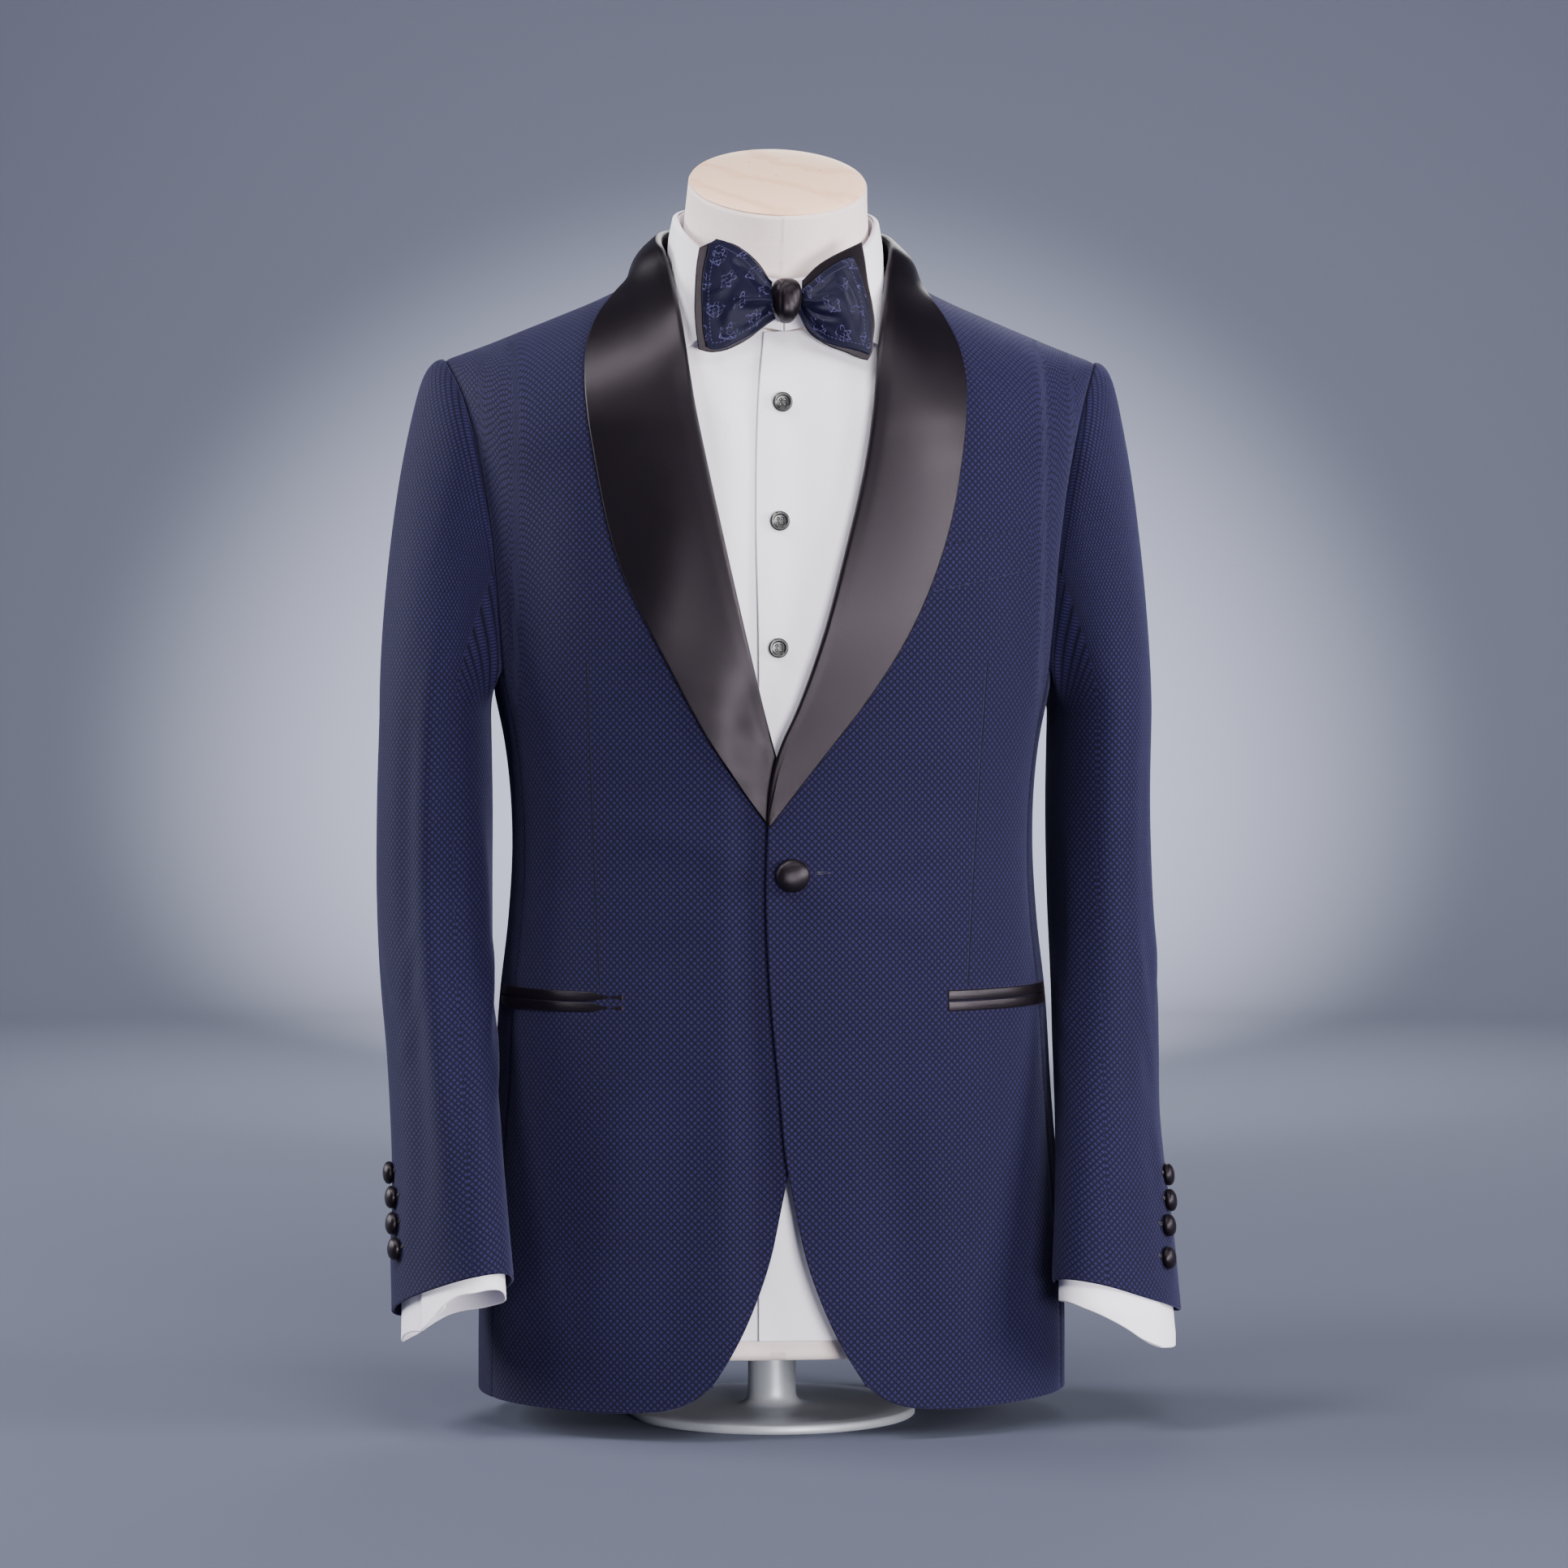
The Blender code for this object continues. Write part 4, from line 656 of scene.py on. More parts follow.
backFolds = {
    "right": [
        (40, 700, 150, 640, 20, 1.9, 6), (30, 640, 120, 560, 18, 1.4, -5), (70, 520, 84, 380, 16, 1.5, 5),
        (118, 400, 130, 60, 20, 2.4, -8), (60, 360, 70, 40, 18, -1.8, 6), (20, 410, 130, 396, 12, 1.2, 3),
    ],
    "left": [
        (44, 690, 156, 636, 21, 1.7, -5), (26, 630, 126, 552, 17, 1.5, 6), (76, 510, 88, 370, 16, 1.3, -5),
        (112, 410, 126, 70, 21, 2.2, 7), (56, 350, 62, 50, 17, -1.6, -6), (24, 402, 126, 388, 13, 1.1, -3),
    ],
}
sideFolds = [(1.42, 430, 1.50, 60, 0.10, 1.6, 0.02), (1.75, 420, 1.70, 90, 0.11, -1.3, -0.02)]

frontEdge = (
    (50, 37), (38, 56), (29, 73), (20, 94), (12.5, 116), (5, 150), (-0.4, 178), (-5.6, 231), (-10.9, 288),
    (-13.5, 357), (-14.5, 396),
)
frontHem = ((50, 37), (62, 28), (76, 22.5), (95, 20), (120, 19), (150, 19.5))
jacket = {
    "hem": 20, "backHem": 18, "rows": 23, "seamRow": 14, "breakRow": 9, "shares": (0.10, 0.42, 0.48),
    "underPush": 4.9, "columns": 52, "turned": 0.9,
}


def rowShares(count):  # even, cosine and sine spacing added, closest together towards the shoulder
    t = np.linspace(0, 1, count)
    even, both, top = jacket["shares"]
    return even * t + both * (1 - np.cos(pi * t)) / 2 + top * np.sin(pi * t / 2)


def sideEdge(side, hem, rows, seamRow, inset=0.0, share=None):
    shares = rowShares(rows)
    share = seams["share"] if share is None else share
    seamZ = hem + (seams["top"] - hem) * shares[: seamRow + 1] / shares[seamRow]
    seamX = (read(body, "z", "width", seamZ) - inset) * share - cutting["gap"] / 2
    arm = (shares[seamRow:] - shares[seamRow]) / (1 - shares[seamRow])
    armZ = seams["top"] + (seams["tip"][1] - inset - seams["top"]) * arm
    armX = read(armEdge, "z", "front" if side < 0 else "back", armZ + inset * arm) - inset * 0.6
    armX = armX + (seamX[-1] - armX[0]) * (1 - ease(arm * 3))
    return np.stack([np.concatenate([seamX, armX[1:]]), np.concatenate([seamZ, armZ[1:]])], -1)


def shoulderEdge(start, count, inset=0.0):
    x = np.linspace(start, seams["tip"][0] - inset * 0.6, count)
    return np.stack([x, read(shoulder, "x", "z", x) - inset], -1)


def pushIn(x, z):  # how far the right front sinks behind the left one
    return jacket["underPush"] * ease((44 - x) / 26) * (1 - ease((z - 452) / 60)) * ease((z - 40) / 90)


def seamFade(x, z):
    return ease((read(body, "z", "width", z) * seams["share"] - np.abs(x)) / 22) * ease((735 - z) / 40)


def onFront(x, z, hand):
    y = depth(x, z, -1) - folded(x, z, frontFolds[hand]) * seamFade(x, z)
    if hand == "right":
        y = y + pushIn(x, z)
    return np.stack([x, y, z], -1)


def frontSkin(x, z, hand):  # places on a front and the outward directions there
    across = onFront(x + 0.5, z, hand) - onFront(x - 0.5, z, hand)
    up = onFront(x, z + 0.5, hand) - onFront(x, z - 0.5, hand)
    return onFront(x, z, hand), unit(np.cross(across, up))


# running lengths round and up the smooth body, so that the weave lies level on every panel
bodyX, bodyZ = np.arange(0, 241.0), np.arange(0, 800.0, 2.0)
lengths = {}
for side in (-1, 1):
    sampleX, sampleZ = np.meshgrid(bodyX, bodyZ, indexing="ij")
    sampleY = depth(sampleX, sampleZ, side)
    lengths[side] = (
        np.concatenate([np.zeros((1, len(bodyZ))), np.cumsum(np.hypot(1, np.diff(sampleY, axis=0)), 0)]),
        np.concatenate([np.zeros((len(bodyX), 1)), np.cumsum(np.hypot(2, np.diff(sampleY, axis=1)), 1)], 1),
    )


def weaveOn(x, z, side):
    i = np.clip(x, 0, 239.99)
    j = np.clip(z / 2, 0, len(bodyZ) - 1.01)
    i0, j0 = i.astype(int), j.astype(int)
    fx, fz = i - i0, j - j0
    both = []
    for run in lengths[side]:
        low = run[i0, j0] * (1 - fx) + run[i0 + 1, j0] * fx
        high = run[i0, j0 + 1] * (1 - fx) + run[i0 + 1, j0 + 1] * fx
        both.append(low * (1 - fz) + high * fz)
    both[0] = both[0] + np.minimum(x, 0)
    return np.stack(both, -1) * 0.001


fineRows = (jacket["rows"] - 1) * cutting["fine"] + 1
fineSeam = jacket["seamRow"] * cutting["fine"]
fineBreak = jacket["breakRow"] * cutting["fine"]
darts = {"right": (129, 505, 121, 297), "left": (132.5, 506, 119.4, 293)}  # from x, z to x, z


def dartLine(x, z, dart):  # signed distance across from the dart; the cloth's look keeps to its length
    x0, z0, x1, z1 = dart
    return (x - x0) - (z - z0) * (x1 - x0) / (z1 - z0)


def jacketFront(hand):
    strip = shawlFront(hand)
    climb = np.linspace(0, 1, shawlCut["stations"])
    clear = 0.8 + 1.0 * (1 - ease(climb * 4)) + 0.9 * ease(climb * 4 - 3)
    tail = strip[0] + unit(strip[0] - strip[1]) * clear[:, None]
    roll = [(x, z) for x, _, z in tail]
    edge = [p for p in frontEdge if p[1] < roll[0][1] - 6]
    rising = np.linspace(0, 1, fineRows - fineBreak)
    rising = 0.3 * (1 - np.cos(pi * rising)) / 2 + 0.7 * np.sin(pi * rising / 2)
    left = np.concatenate([
        trace((*edge, roll[0]), np.linspace(0, 1, fineBreak + 1) ** 1.1),
        trace((*roll, seams["neck"]), rising)[1:],
    ])
    right = sideEdge(-1, jacket["hem"], fineRows, fineSeam)
    bottom = trace((*frontHem, tuple(right[0])), np.linspace(0, 1, jacket["columns"]))
    top = shoulderEdge(seams["neck"][0], jacket["columns"])
    return coons(bottom, top, left, right)


def jacketSide():
    z = sideEdge(-1, jacket["hem"], fineRows, fineSeam)[: fineSeam + 1, 1]
    columns, gap = 25, cutting["gap"] / 120
    angles = np.linspace(seamAngle(-1) + gap, seamAngle(1) - gap, columns)
    share = ((z - jacket["hem"]) / (seams["top"] - jacket["hem"])) ** 3
    heights = z[None] + (seams["underarm"] - seams["top"]) * np.sin(np.linspace(0, pi, columns))[:, None] * share[None]
    angles = angles[:, None] + 0 * heights
    fade = ease((angles - seamAngle(-1)) / 0.2) * ease((seamAngle(1) - angles) / 0.2)
    return flank(angles, heights, -folded(angles, heights, sideFolds) * fade)


def jacketBack(hand):
    columns, hem = 44, jacket["backHem"]
    right = sideEdge(1, hem, fineRows, fineSeam)
    left = np.stack([np.full(fineRows, cutting["gap"] / 2), hem + (770 - hem) * rowShares(fineRows)], -1)
    neck = ((cutting["gap"] / 2, 770), (30, 771), (55, 773.5), (68, 774), (seams["neck"][0] + 1, seams["neck"][1] - 1))
    half = columns // 2
    rest = columns - half + 1
    top = np.concatenate([trace(neck, np.linspace(0, 1, half)), shoulderEdge(seams["neck"][0] + 1, rest)[1:]])
    x = np.concatenate([np.linspace(cutting["gap"] / 2, 80, half), np.linspace(80, right[0, 0], rest)[1:]])
    bottom = np.stack([x, np.full(columns, float(hem))], -1)
    patch = coons(bottom, top, left, right)
    x, z = patch[..., 0], patch[..., 1]
    y = depth(x, z, 1) + folded(x, z, backFolds[hand]) * seamFade(x, z) * ease(x / 16)
    return np.stack([x, y, z], -1), weaveOn(x, z, 1)


# shawl collar

lapel = {
    "left": columnsOf(
        "rollX rollZ edgeX edgeZ",
        (-14.5, 402, -12, 399), (-12, 423, 4, 420), (-7.3, 445, 24, 446), (7, 479, 51, 481),
        (20.5, 518, 76, 520), (36, 576, 100.5, 578), (49.5, 633, 112.5, 632), (55.5, 672, 116.5, 671),
        (58.5, 703, 116, 701), (62.5, 731, 108, 725), (68.5, 757, 98, 744),
    ),
    "right": columnsOf(
        "rollX rollZ edgeX edgeZ",
        (-13, 380, -9, 376), (-8, 394, 5, 391), (-2, 411, 21, 411), (8.4, 448, 47, 449),
        (21.5, 498, 75, 500), (37.3, 566, 107, 568), (52.9, 638, 122.5, 636), (60, 675, 127.5, 672),
        (63.5, 703, 127.5, 702), (66.5, 731, 120, 726), (69.5, 757, 106, 745),
    ),
}
collarCut = columnsOf(
    "rollX rollY rollZ edgeX edgeY edgeZ stand",
    (73.5, -42, 773, 98, -14, 751, 4), (74.5, -14, 784, 95.5, 12, 754, 10), (65, 14, 790, 86, 43.5, 754, 15.5),
    (38, 34, 795, 54, 70, 755, 19.5), (0.3, 41, 797, 0.3, 72, 756, 21.5),
)
shawlCut = {
    "roll": 3.2, "rollFoot": 1.9, "stations": 19, "collarStations": 8, "rise": 2.1, "tail": 2.6,
    "turns": np.radians(np.linspace(180, 0, 13)), "leaf": np.linspace(0.035, 1, 30), "fine": 5,
}


# a section of the shawl: the tail inside, a half turn about the roll, then the leaf's places
def rolled(centre, leafWay, out, radius, tailWay, tail, leaf):
    turns = [centre + radius * (np.cos(turn) * out - np.sin(turn) * leafWay) for turn in shawlCut["turns"]]
    return np.stack([turns[0] + tailWay * tail, turns[0] + tailWay * tail * 0.5, *turns, *leaf])


def shawlFront(hand):
    pairs = np.stack([lapel[hand][name] for name in ("rollX", "rollZ", "edgeX", "edgeZ")], -1)
    climb = np.linspace(0, 1, shawlCut["stations"])
    rollX, rollZ, edgeX, edgeZ = trace(pairs, climb).T
    start = 0.2 if hand == "right" else 0
    radius = shawlCut["rollFoot"] + (shawlCut["roll"] - shawlCut["rollFoot"]) * ease((climb - start) * 2.5)
    width = np.hypot(edgeX - rollX, edgeZ - rollZ)
    radius = np.minimum(radius, width / 3)
    skin, out = frontSkin(rollX + radius, rollZ, hand)
    edge, _ = frontSkin(edgeX, edgeZ, hand)
    leafWay = edge - skin
    leafWay = unit(leafWay - out * np.sum(leafWay * out, -1, keepdims=True))
    radius = radius[:, None]
    centre = skin + out * (radius - cutting["cloth"])
    leaf = []
    for share in shawlCut["leaf"]:
        x = rollX + radius[:, 0] + (edgeX - rollX - radius[:, 0]) * share
        z = rollZ + (edgeZ - rollZ) * share
        point, way = frontSkin(x, z, hand)
        low = np.minimum(shawlCut["rise"] + cutting["satin"], 0.5 + cutting["satin"] + width[:, None] * 0.05)
        high = 2 * radius - cutting["cloth"] + 0.5 * ease(share / 0.12)
        leaf.append(point + way * (low + (high - low) * (1 - share) ** 1.4))
    tail = np.minimum(shawlCut["tail"], width[:, None] * 0.2)
    return rolled(centre, leafWay, out, radius, leafWay, tail, leaf)


def shawlCollar():
    keys = np.stack([collarCut[name] for name in collarCut], -1)
    keys = trace(keys, np.linspace(0, 1, shawlCut["collarStations"]))
    inner, edge, stand = keys[:, :3], keys[:, 3:6], keys[:, 6:7]
    edge[:, 2] = crown(edge[:, 0], edge[:, 1]) + 4.6
    leafWay = unit(edge - inner)
    out = unit(np.cross(leafWay, np.gradient(inner, axis=0)))
    out = out * np.sign(np.sum(out * (edge - inner - np.array([0, 0, -60.0])), -1, keepdims=True))
    radius = np.full((len(keys), 1), shawlCut["roll"])
    centre = inner + (out + leafWay) * radius * 0.7
    leaf = []
    for share in shawlCut["leaf"]:
        start = centre + out * radius
        point = start + (edge - start) * share + out * 4 * np.sin(pi * share)
        point[:, 2] = np.maximum(point[:, 2], crown(point[:, 0], point[:, 1]) + 4.6)
        leaf.append(point)
    down = unit(leafWay * np.array([0.25, 0.25, 1.0]))
    return rolled(centre, leafWay, out, radius, down, stand, leaf)


def handed(hand, grid):
    return grid if hand == "left" else mirrored(grid)


chest = (0, 0, 400)
for hand in ("left", "right"):
    patch = jacketFront(hand)
    x, z = patch[..., 0], patch[..., 1]
    clothPiece(
        f"jacketFront_{hand}", handed(hand, onFront(x, z, hand)), cutting["cloth"], looks["navy"], chest,
        [f"jacket_front_{hand}"], "stretched", ["form_body"], uv=weaveOn(x, z, -1), line=dartLine(x, z, darts[hand]),
        pinch=(0, 0.7, 0, 0.5), levelTop=True, turned=jacket["turned"],
    )
    grid = jacketSide()
    clothPiece(
        f"jacketSide_{hand}", handed(hand, grid), cutting["cloth"], looks["navy"], chest,
        [f"jacket_side_{hand}"], "stretched", ["form_body"], pinch=(0.7, 0.7, 0, 0.4), turned=jacket["turned"],
    )
    grid, uv = jacketBack(hand)
    clothPiece(
        f"jacketBack_{hand}", handed(hand, grid), cutting["cloth"], looks["navy"], chest,
        [f"jacket_back_{hand}"], "stretched", ["form_body"], uv=uv, pinch=(0.6, 0.7, 0, 0.5), levelTop=True,
        turned=jacket["turned"],
    )
    strip = np.concatenate([shawlFront(hand), shawlCollar()], axis=1)
    strip = handed(hand, resampled(strip, (strip.shape[1] - 1) * shawlCut["fine"] + 1))
    way = normalsOf(strip)
    if np.mean(way[-2, : shawlCut["stations"] * shawlCut["fine"], 1]) > 0:
        strip, way = strip[::-1], -way[::-1]
    clothPiece(
        f"shawl_{hand}", strip, cutting["satin"], looks["satin"], None, [f"shawl_{hand}"], "folded",
        ["jacket_front_" + hand], ways=way,
    )
print("jacket body cut and draped")


# sleeves

# the sleeve below the arm's top: inner and outer reach, middle and half depth in y, skew of a section, its slope
# from front to back and its lean outwards
sleeve = columnsOf(
    "down inner outerRight outerLeft y deep skew slope lean",
    (0, 187.5, 262, 256, 4, 68, 0, 0, 0), (65, 186.5, 264, 256, 6, 66, 2, 0, 0),
    (120, 186.5, 264, 258.5, 4, 63, 6, 0.05, 0), (177, 186.5, 262, 261.5, -8, 60, 11, 0.14, 0),
    (227, 185, 258, 260.5, -24, 57, 16, 0.22, 0), (265, 184, 256, 259.5, -38, 55, 20, 0.28, 0.02),
    (305, 182, 255, 262, -52, 53, 23, 0.32, 0.06), (340, 179.5, 256, 265.5, -63, 51, 25, 0.33, 0.1),
    (379, 176.5, 255.5, 268, -74, 50, 26, 0.33, 0.12), (402, 175.5, 256, 269, -82, 50, 26, 0.33, 0.12),
)
# how much further down a sleeve's hem lies, round the sleeve from its outer side to the front, inside and back
hemDroop = columnsOf(
    "turn left right",
    (0.0, 5, 0), (0.1, 9, 0), (0.2, 11, 0), (0.3, 9, -1), (0.42, 6, -2), (0.5, 4, -1), (0.6, 1, 0), (0.75, 0, 0),
    (0.9, 1, 0), (1.0, 5, 0),
)
sleeveCut = {
    "top": 470, "length": 379, "frontSeam": 0.30, "backSeam": -0.21, "capRows": 46, "tubeRows": 116,
    "columns": 46, "round": 480, "head": 1.6, "droopRun": 44, "start": 0.75, "seamGap": 0.15, "allowance": 2.7,
}
# folds round each sleeve: from (turn x 480, distance down) to the same, half width, height and bow
sleeveFolds = {
    "right": [
        (112, -60, 116, 345, 17, 4.2, 5), (80, -20, 84, 330, 15, -1.8, 3), (92, 140, 60, 205, 9, 0.9, 4),
        (96, 176, 50, 236, 9, 0.8, -4), (-20, 120, -34, 330, 16, 1.4, 8), (60, 250, 52, 372, 12, 1.0, -5),
        (10, 150, 44, 196, 10, -1.0, 3), (180, 60, 200, 230, 16, 2.0, -8), (230, 150, 190, 215, 11, 1.8, 5),
        (240, 200, 200, 258, 11, 1.5, -5), (300, 40, 286, 300, 18, 1.6, 9), (-60, -30, -44, 110, 14, 1.5, -5),
    ],
    "left": [
        (118, -50, 124, 345, 20, 0.9, -5), (58, -20, 66, 320, 15, -0.9, -3), (94, 150, 56, 214, 10, 0.9, -4),
        (98, 190, 52, 246, 9, 0.8, 4), (-24, 100, -30, 320, 16, 1.3, -8), (64, 262, 50, 372, 12, 1.0, 5),
        (6, 160, 40, 208, 10, -1.1, -3), (184, 70, 204, 240, 16, 1.9, 8), (228, 160, 192, 224, 11, 1.7, -5),
        (238, 212, 198, 268, 11, 1.4, 5), (296, 50, 282, 310, 18, 1.5, -9), (-58, -20, -46, 120, 14, 1.6, 5),
    ],
}


# a point of a sleeve's section: an oval turned by its skew and sloping from back to front
def oval(turn, down, hand, inset=0.0):
    inner = read(sleeve, "down", "inner", down) + inset
    outer = read(sleeve, "down", "outerLeft" if hand == "left" else "outerRight", down) - inset
    angle = 2 * pi * turn
    skew = np.radians(read(sleeve, "down", "skew", down))
    x = (inner + outer) / 2 + (outer - inner) / 2 * np.cos(angle)
    across = -(read(sleeve, "down", "deep", down) - inset) * np.sin(angle - skew)
    y = read(sleeve, "down", "y", down) + across
    lean = read(sleeve, "down", "lean", down) * (x - (inner + outer) / 2)
    z = sleeveCut["top"] - down - read(sleeve, "down", "slope", down) * across - lean
    return np.stack([x, y, z + 0 * x], -1)


def armhole(turn, inset=0.0):  # the armhole's edge, its top at turn 0 and its front at a quarter
    hem = jacket["hem"]
    fronts = sideEdge(-1, hem, fineRows, fineSeam, inset)[fineSeam:][::-1]
    backs = sideEdge(1, hem, fineRows, fineSeam, inset)[fineSeam:]
    front = np.stack([fronts[:, 0], depth(fronts[:, 0], fronts[:, 1], -1, inset), fronts[:, 1]], -1)
    back = np.stack([backs[:, 0], depth(backs[:, 0], backs[:, 1], 1, inset), backs[:, 1]], -1)
    angles = np.linspace(seamAngle(-1), seamAngle(1), 41)
    dip = seams["top"] + (seams["underarm"] - seams["top"]) * np.sin(np.linspace(0, pi, 41))
    loop = np.concatenate([front, flank(angles, dip, inset)[1:-1], back])
    run = np.concatenate(([0], np.cumsum(np.linalg.norm(np.diff(loop, axis=0), axis=1))))
    low = run[len(front) + 19]
    shares = np.where(run < low, 0.5 * run / low, 0.5 + 0.5 * (run - low) / (run[-1] - low))
    return np.stack([np.interp(np.mod(turn, 1.0), shares, column) for column in loop.T], -1)


# a sleeve piece: a Hermite cap from the armhole to the biceps, then ovals down to the hem; folds along normals
def sleevePatch(turns, hand):
    turns = np.asarray(turns, float)
    start = armhole(turns) + np.array([sleeveCut["start"], 0, 0])
    biceps = oval(turns, np.zeros_like(turns), hand)
    span = np.linalg.norm(biceps - start, axis=-1, keepdims=True)
    top = np.cos(2 * pi * turns)
    aside = 0.35 + 0.65 * np.maximum(top, 0) - 0.2 * np.maximum(-top, 0)
    out = np.stack([aside, -0.45 * np.sin(2 * pi * turns), -0.55 + 0.65 * top], -1)
    fuller = (14 if hand == "left" else 28) * np.maximum(top, 0)[:, None]
    leave = (out * np.minimum(45 + fuller, span * 0.6))[:, None]
    arrive = (np.array([0, 0, -1.0]) * span)[:, None]
    t = (np.linspace(0, 1, sleeveCut["capRows"] + 1)[:-1] ** 1.25)[None, :, None]
    cap = (2 * t**3 - 3 * t**2 + 1) * start[:, None] + (t**3 - 2 * t**2 + t) * leave
    cap = cap + (3 * t**2 - 2 * t**3) * biceps[:, None] + (t**3 - t**2) * arrive
    downs = np.linspace(0, sleeveCut["length"], sleeveCut["tubeRows"])
    droop = read(hemDroop, "turn", hand, np.mod(turns, 1.0))[:, None]
    lower = ease((downs[None] - sleeveCut["length"] + sleeveCut["droopRun"]) / sleeveCut["droopRun"])
    tube = oval(turns[:, None] + 0 * downs, downs[None] + droop * lower, hand)
    grid = np.concatenate([cap, tube], 1)
    way, hemDown = normalsOf(grid), float(sleeveCut["length"])
    sign = np.sign(np.sum(way[:, -1] * (grid[:, -1] - np.mean(oval(np.linspace(0, 0.9, 10), hemDown, hand), 0))))
    way = way * sign
    down = np.concatenate([-np.sum(span) / len(span) * (1 - t[0, :, 0]), downs])[None] + 0 * turns[:, None]
    around = turns[:, None] * sleeveCut["round"] + 0 * down
    rise = folded(around, down, sleeveFolds[hand]) + folded(around - sleeveCut["round"], down, sleeveFolds[hand])
    rise = rise * ease((down + np.mean(span)) / 40) * (0.25 + 0.75 * ease((sleeveCut["length"] - down) / 60))
    capShare = np.concatenate([t[0, :, 0], np.ones(len(downs))])[None]
    head = sleeveCut["head"] * np.exp(-(((capShare - 0.16) / 0.12) ** 2)) * np.maximum(top, 0)[:, None] ** 0.7
    return grid + way * (rise + head)[..., None], way


def sleeveTurns(top, count):
    gap = sleeveCut["seamGap"] / sleeveCut["round"]
    if top:
        return np.linspace(sleeveCut["backSeam"] + gap, sleeveCut["frontSeam"] - gap, count)
    return np.linspace(sleeveCut["frontSeam"] + gap, 1 + sleeveCut["backSeam"] - gap, count)


for hand in ("left", "right"):
    for top, part in ((True, "top"), (False, "under")):
        turns = sleeveTurns(top, sleeveCut["columns"])
        turns = np.concatenate([[turns[0] - 0.01], turns, [turns[-1] + 0.01]])
        grid, _ = sleevePatch(turns, hand)
        way = normalsOf(grid)
        way = way * np.sign(np.sum(way[:, -1] * (grid[:, -1] - np.mean(grid[:, -1], 0))))
        grid, way, turns = grid[1:-1], way[1:-1], turns[1:-1]
        # a seam allowance turned in behind the armhole's edge
        behind = armhole(turns, sleeveCut["allowance"])
        under = behind[:, None] + np.array([[[-5.0, 0, 0], [-2.5, 0, 0], [-0.4, 0, 0]]])
        inward = unit(armhole(turns) - behind)[:, None] + np.zeros((1, 3, 1))
        grid, way = np.concatenate([under, grid], 1), np.concatenate([inward, way], 1)
        uv = np.stack([runOf(grid, 0, len(grid) // 2), runOf(grid, 1, sleeveCut["capRows"] + 3)], -1) * 0.001
        if hand == "right":
            grid, way, uv = mirrored(grid[::-1]), mirrored(way[::-1]), uv[::-1]
        clothPiece(
            f"sleeve{part.capitalize()}_{hand}", grid, cutting["cloth"], looks["navy"], None, [f"sleeve_{part}_{hand}"],
            "stretched", [f"jacket_front_{hand}"], uv=uv, ways=way,
            pinch=(0.35, 0.12, 0, 0) if top == (hand == "left") else (0.12, 0.35, 0, 0),
        )
print("sleeves set")

# pockets, welt and buttons

pocket = {"height": 6.0, "rise": 0.9, "z": 284.2, "innerX": 105.5, "turn": radians(86), "split": 0.5}
welt = {"corners": ((162, 565.5), (162.5, 593), (88, 577), (88, 549.5)), "thick": 1.1, "shift": (0.0006, 0.0011)}
frontButton = {"x": 2.8, "z": 367.0, "width": 22, "height": 8.0}
cuffButtons = {
    "left": (0.09, 0.1, 0.12, 0.13), "right": (0.03, 0.055, 0.065, 0.08), "down": {"left": 307, "right": 297},
    "step": 15.8, "width": 15, "height": 6.2,
}


def jetStrip(low, high, rise, count, rows):  # a strip at a steady height round the body, swelling in its middle
    power = bodyPower[-1]
    start = np.arcsin((pocket["innerX"] / read(body, "z", "width", low)) ** (power / 2))
    angles = np.linspace(float(start), pocket["turn"], count)
    heights = np.linspace(low, high, rows)
    grid = flank(angles[:, None] + 0 * heights, heights[None] + 0 * angles[:, None])
    out = normalsOf(grid)
    out = out * np.sign(np.sum(out * grid))
    swell = 0.25 * np.sin(pi * np.linspace(0, 1, rows))[None, :, None]
    x, z = grid[..., 0], grid[..., 2]
    fold = (folded(x, z, frontFolds["left"]) * seamFade(x, z))[..., None]
    return grid + out * (rise + swell + np.maximum(fold, 0) * 0.6)


# a covered button: a turned dome of cosine section over a flat back
def coveredButton(name, spot, facing, width, height, node):
    facing = unit(np.asarray(facing, float))
    side = unit(np.cross(facing, (0.0, 0.0, 1.0)))
    share = np.linspace(0, 1, 15)
    bend = share[1:] * pi / 2
    dome = list(zip(width / 2 * np.sin(bend) ** 0.92, height * (0.30 + 0.70 * np.cos(bend) ** 0.85)))
    profile = [(0.3, 0.0), (width * 0.30, 0.0), (width * 0.43, 0.25), (width * 0.48, height * 0.12)] + dome[::-1]
    points, quads, tris = turnedBody(profile, 40, spot, facing, side)
    uv = np.stack([points @ side, points @ np.cross(facing, side)], -1) * 0.001
    return dress(fillMesh(name, points, quads, tris, uv=uv), *looks["satin"], node)


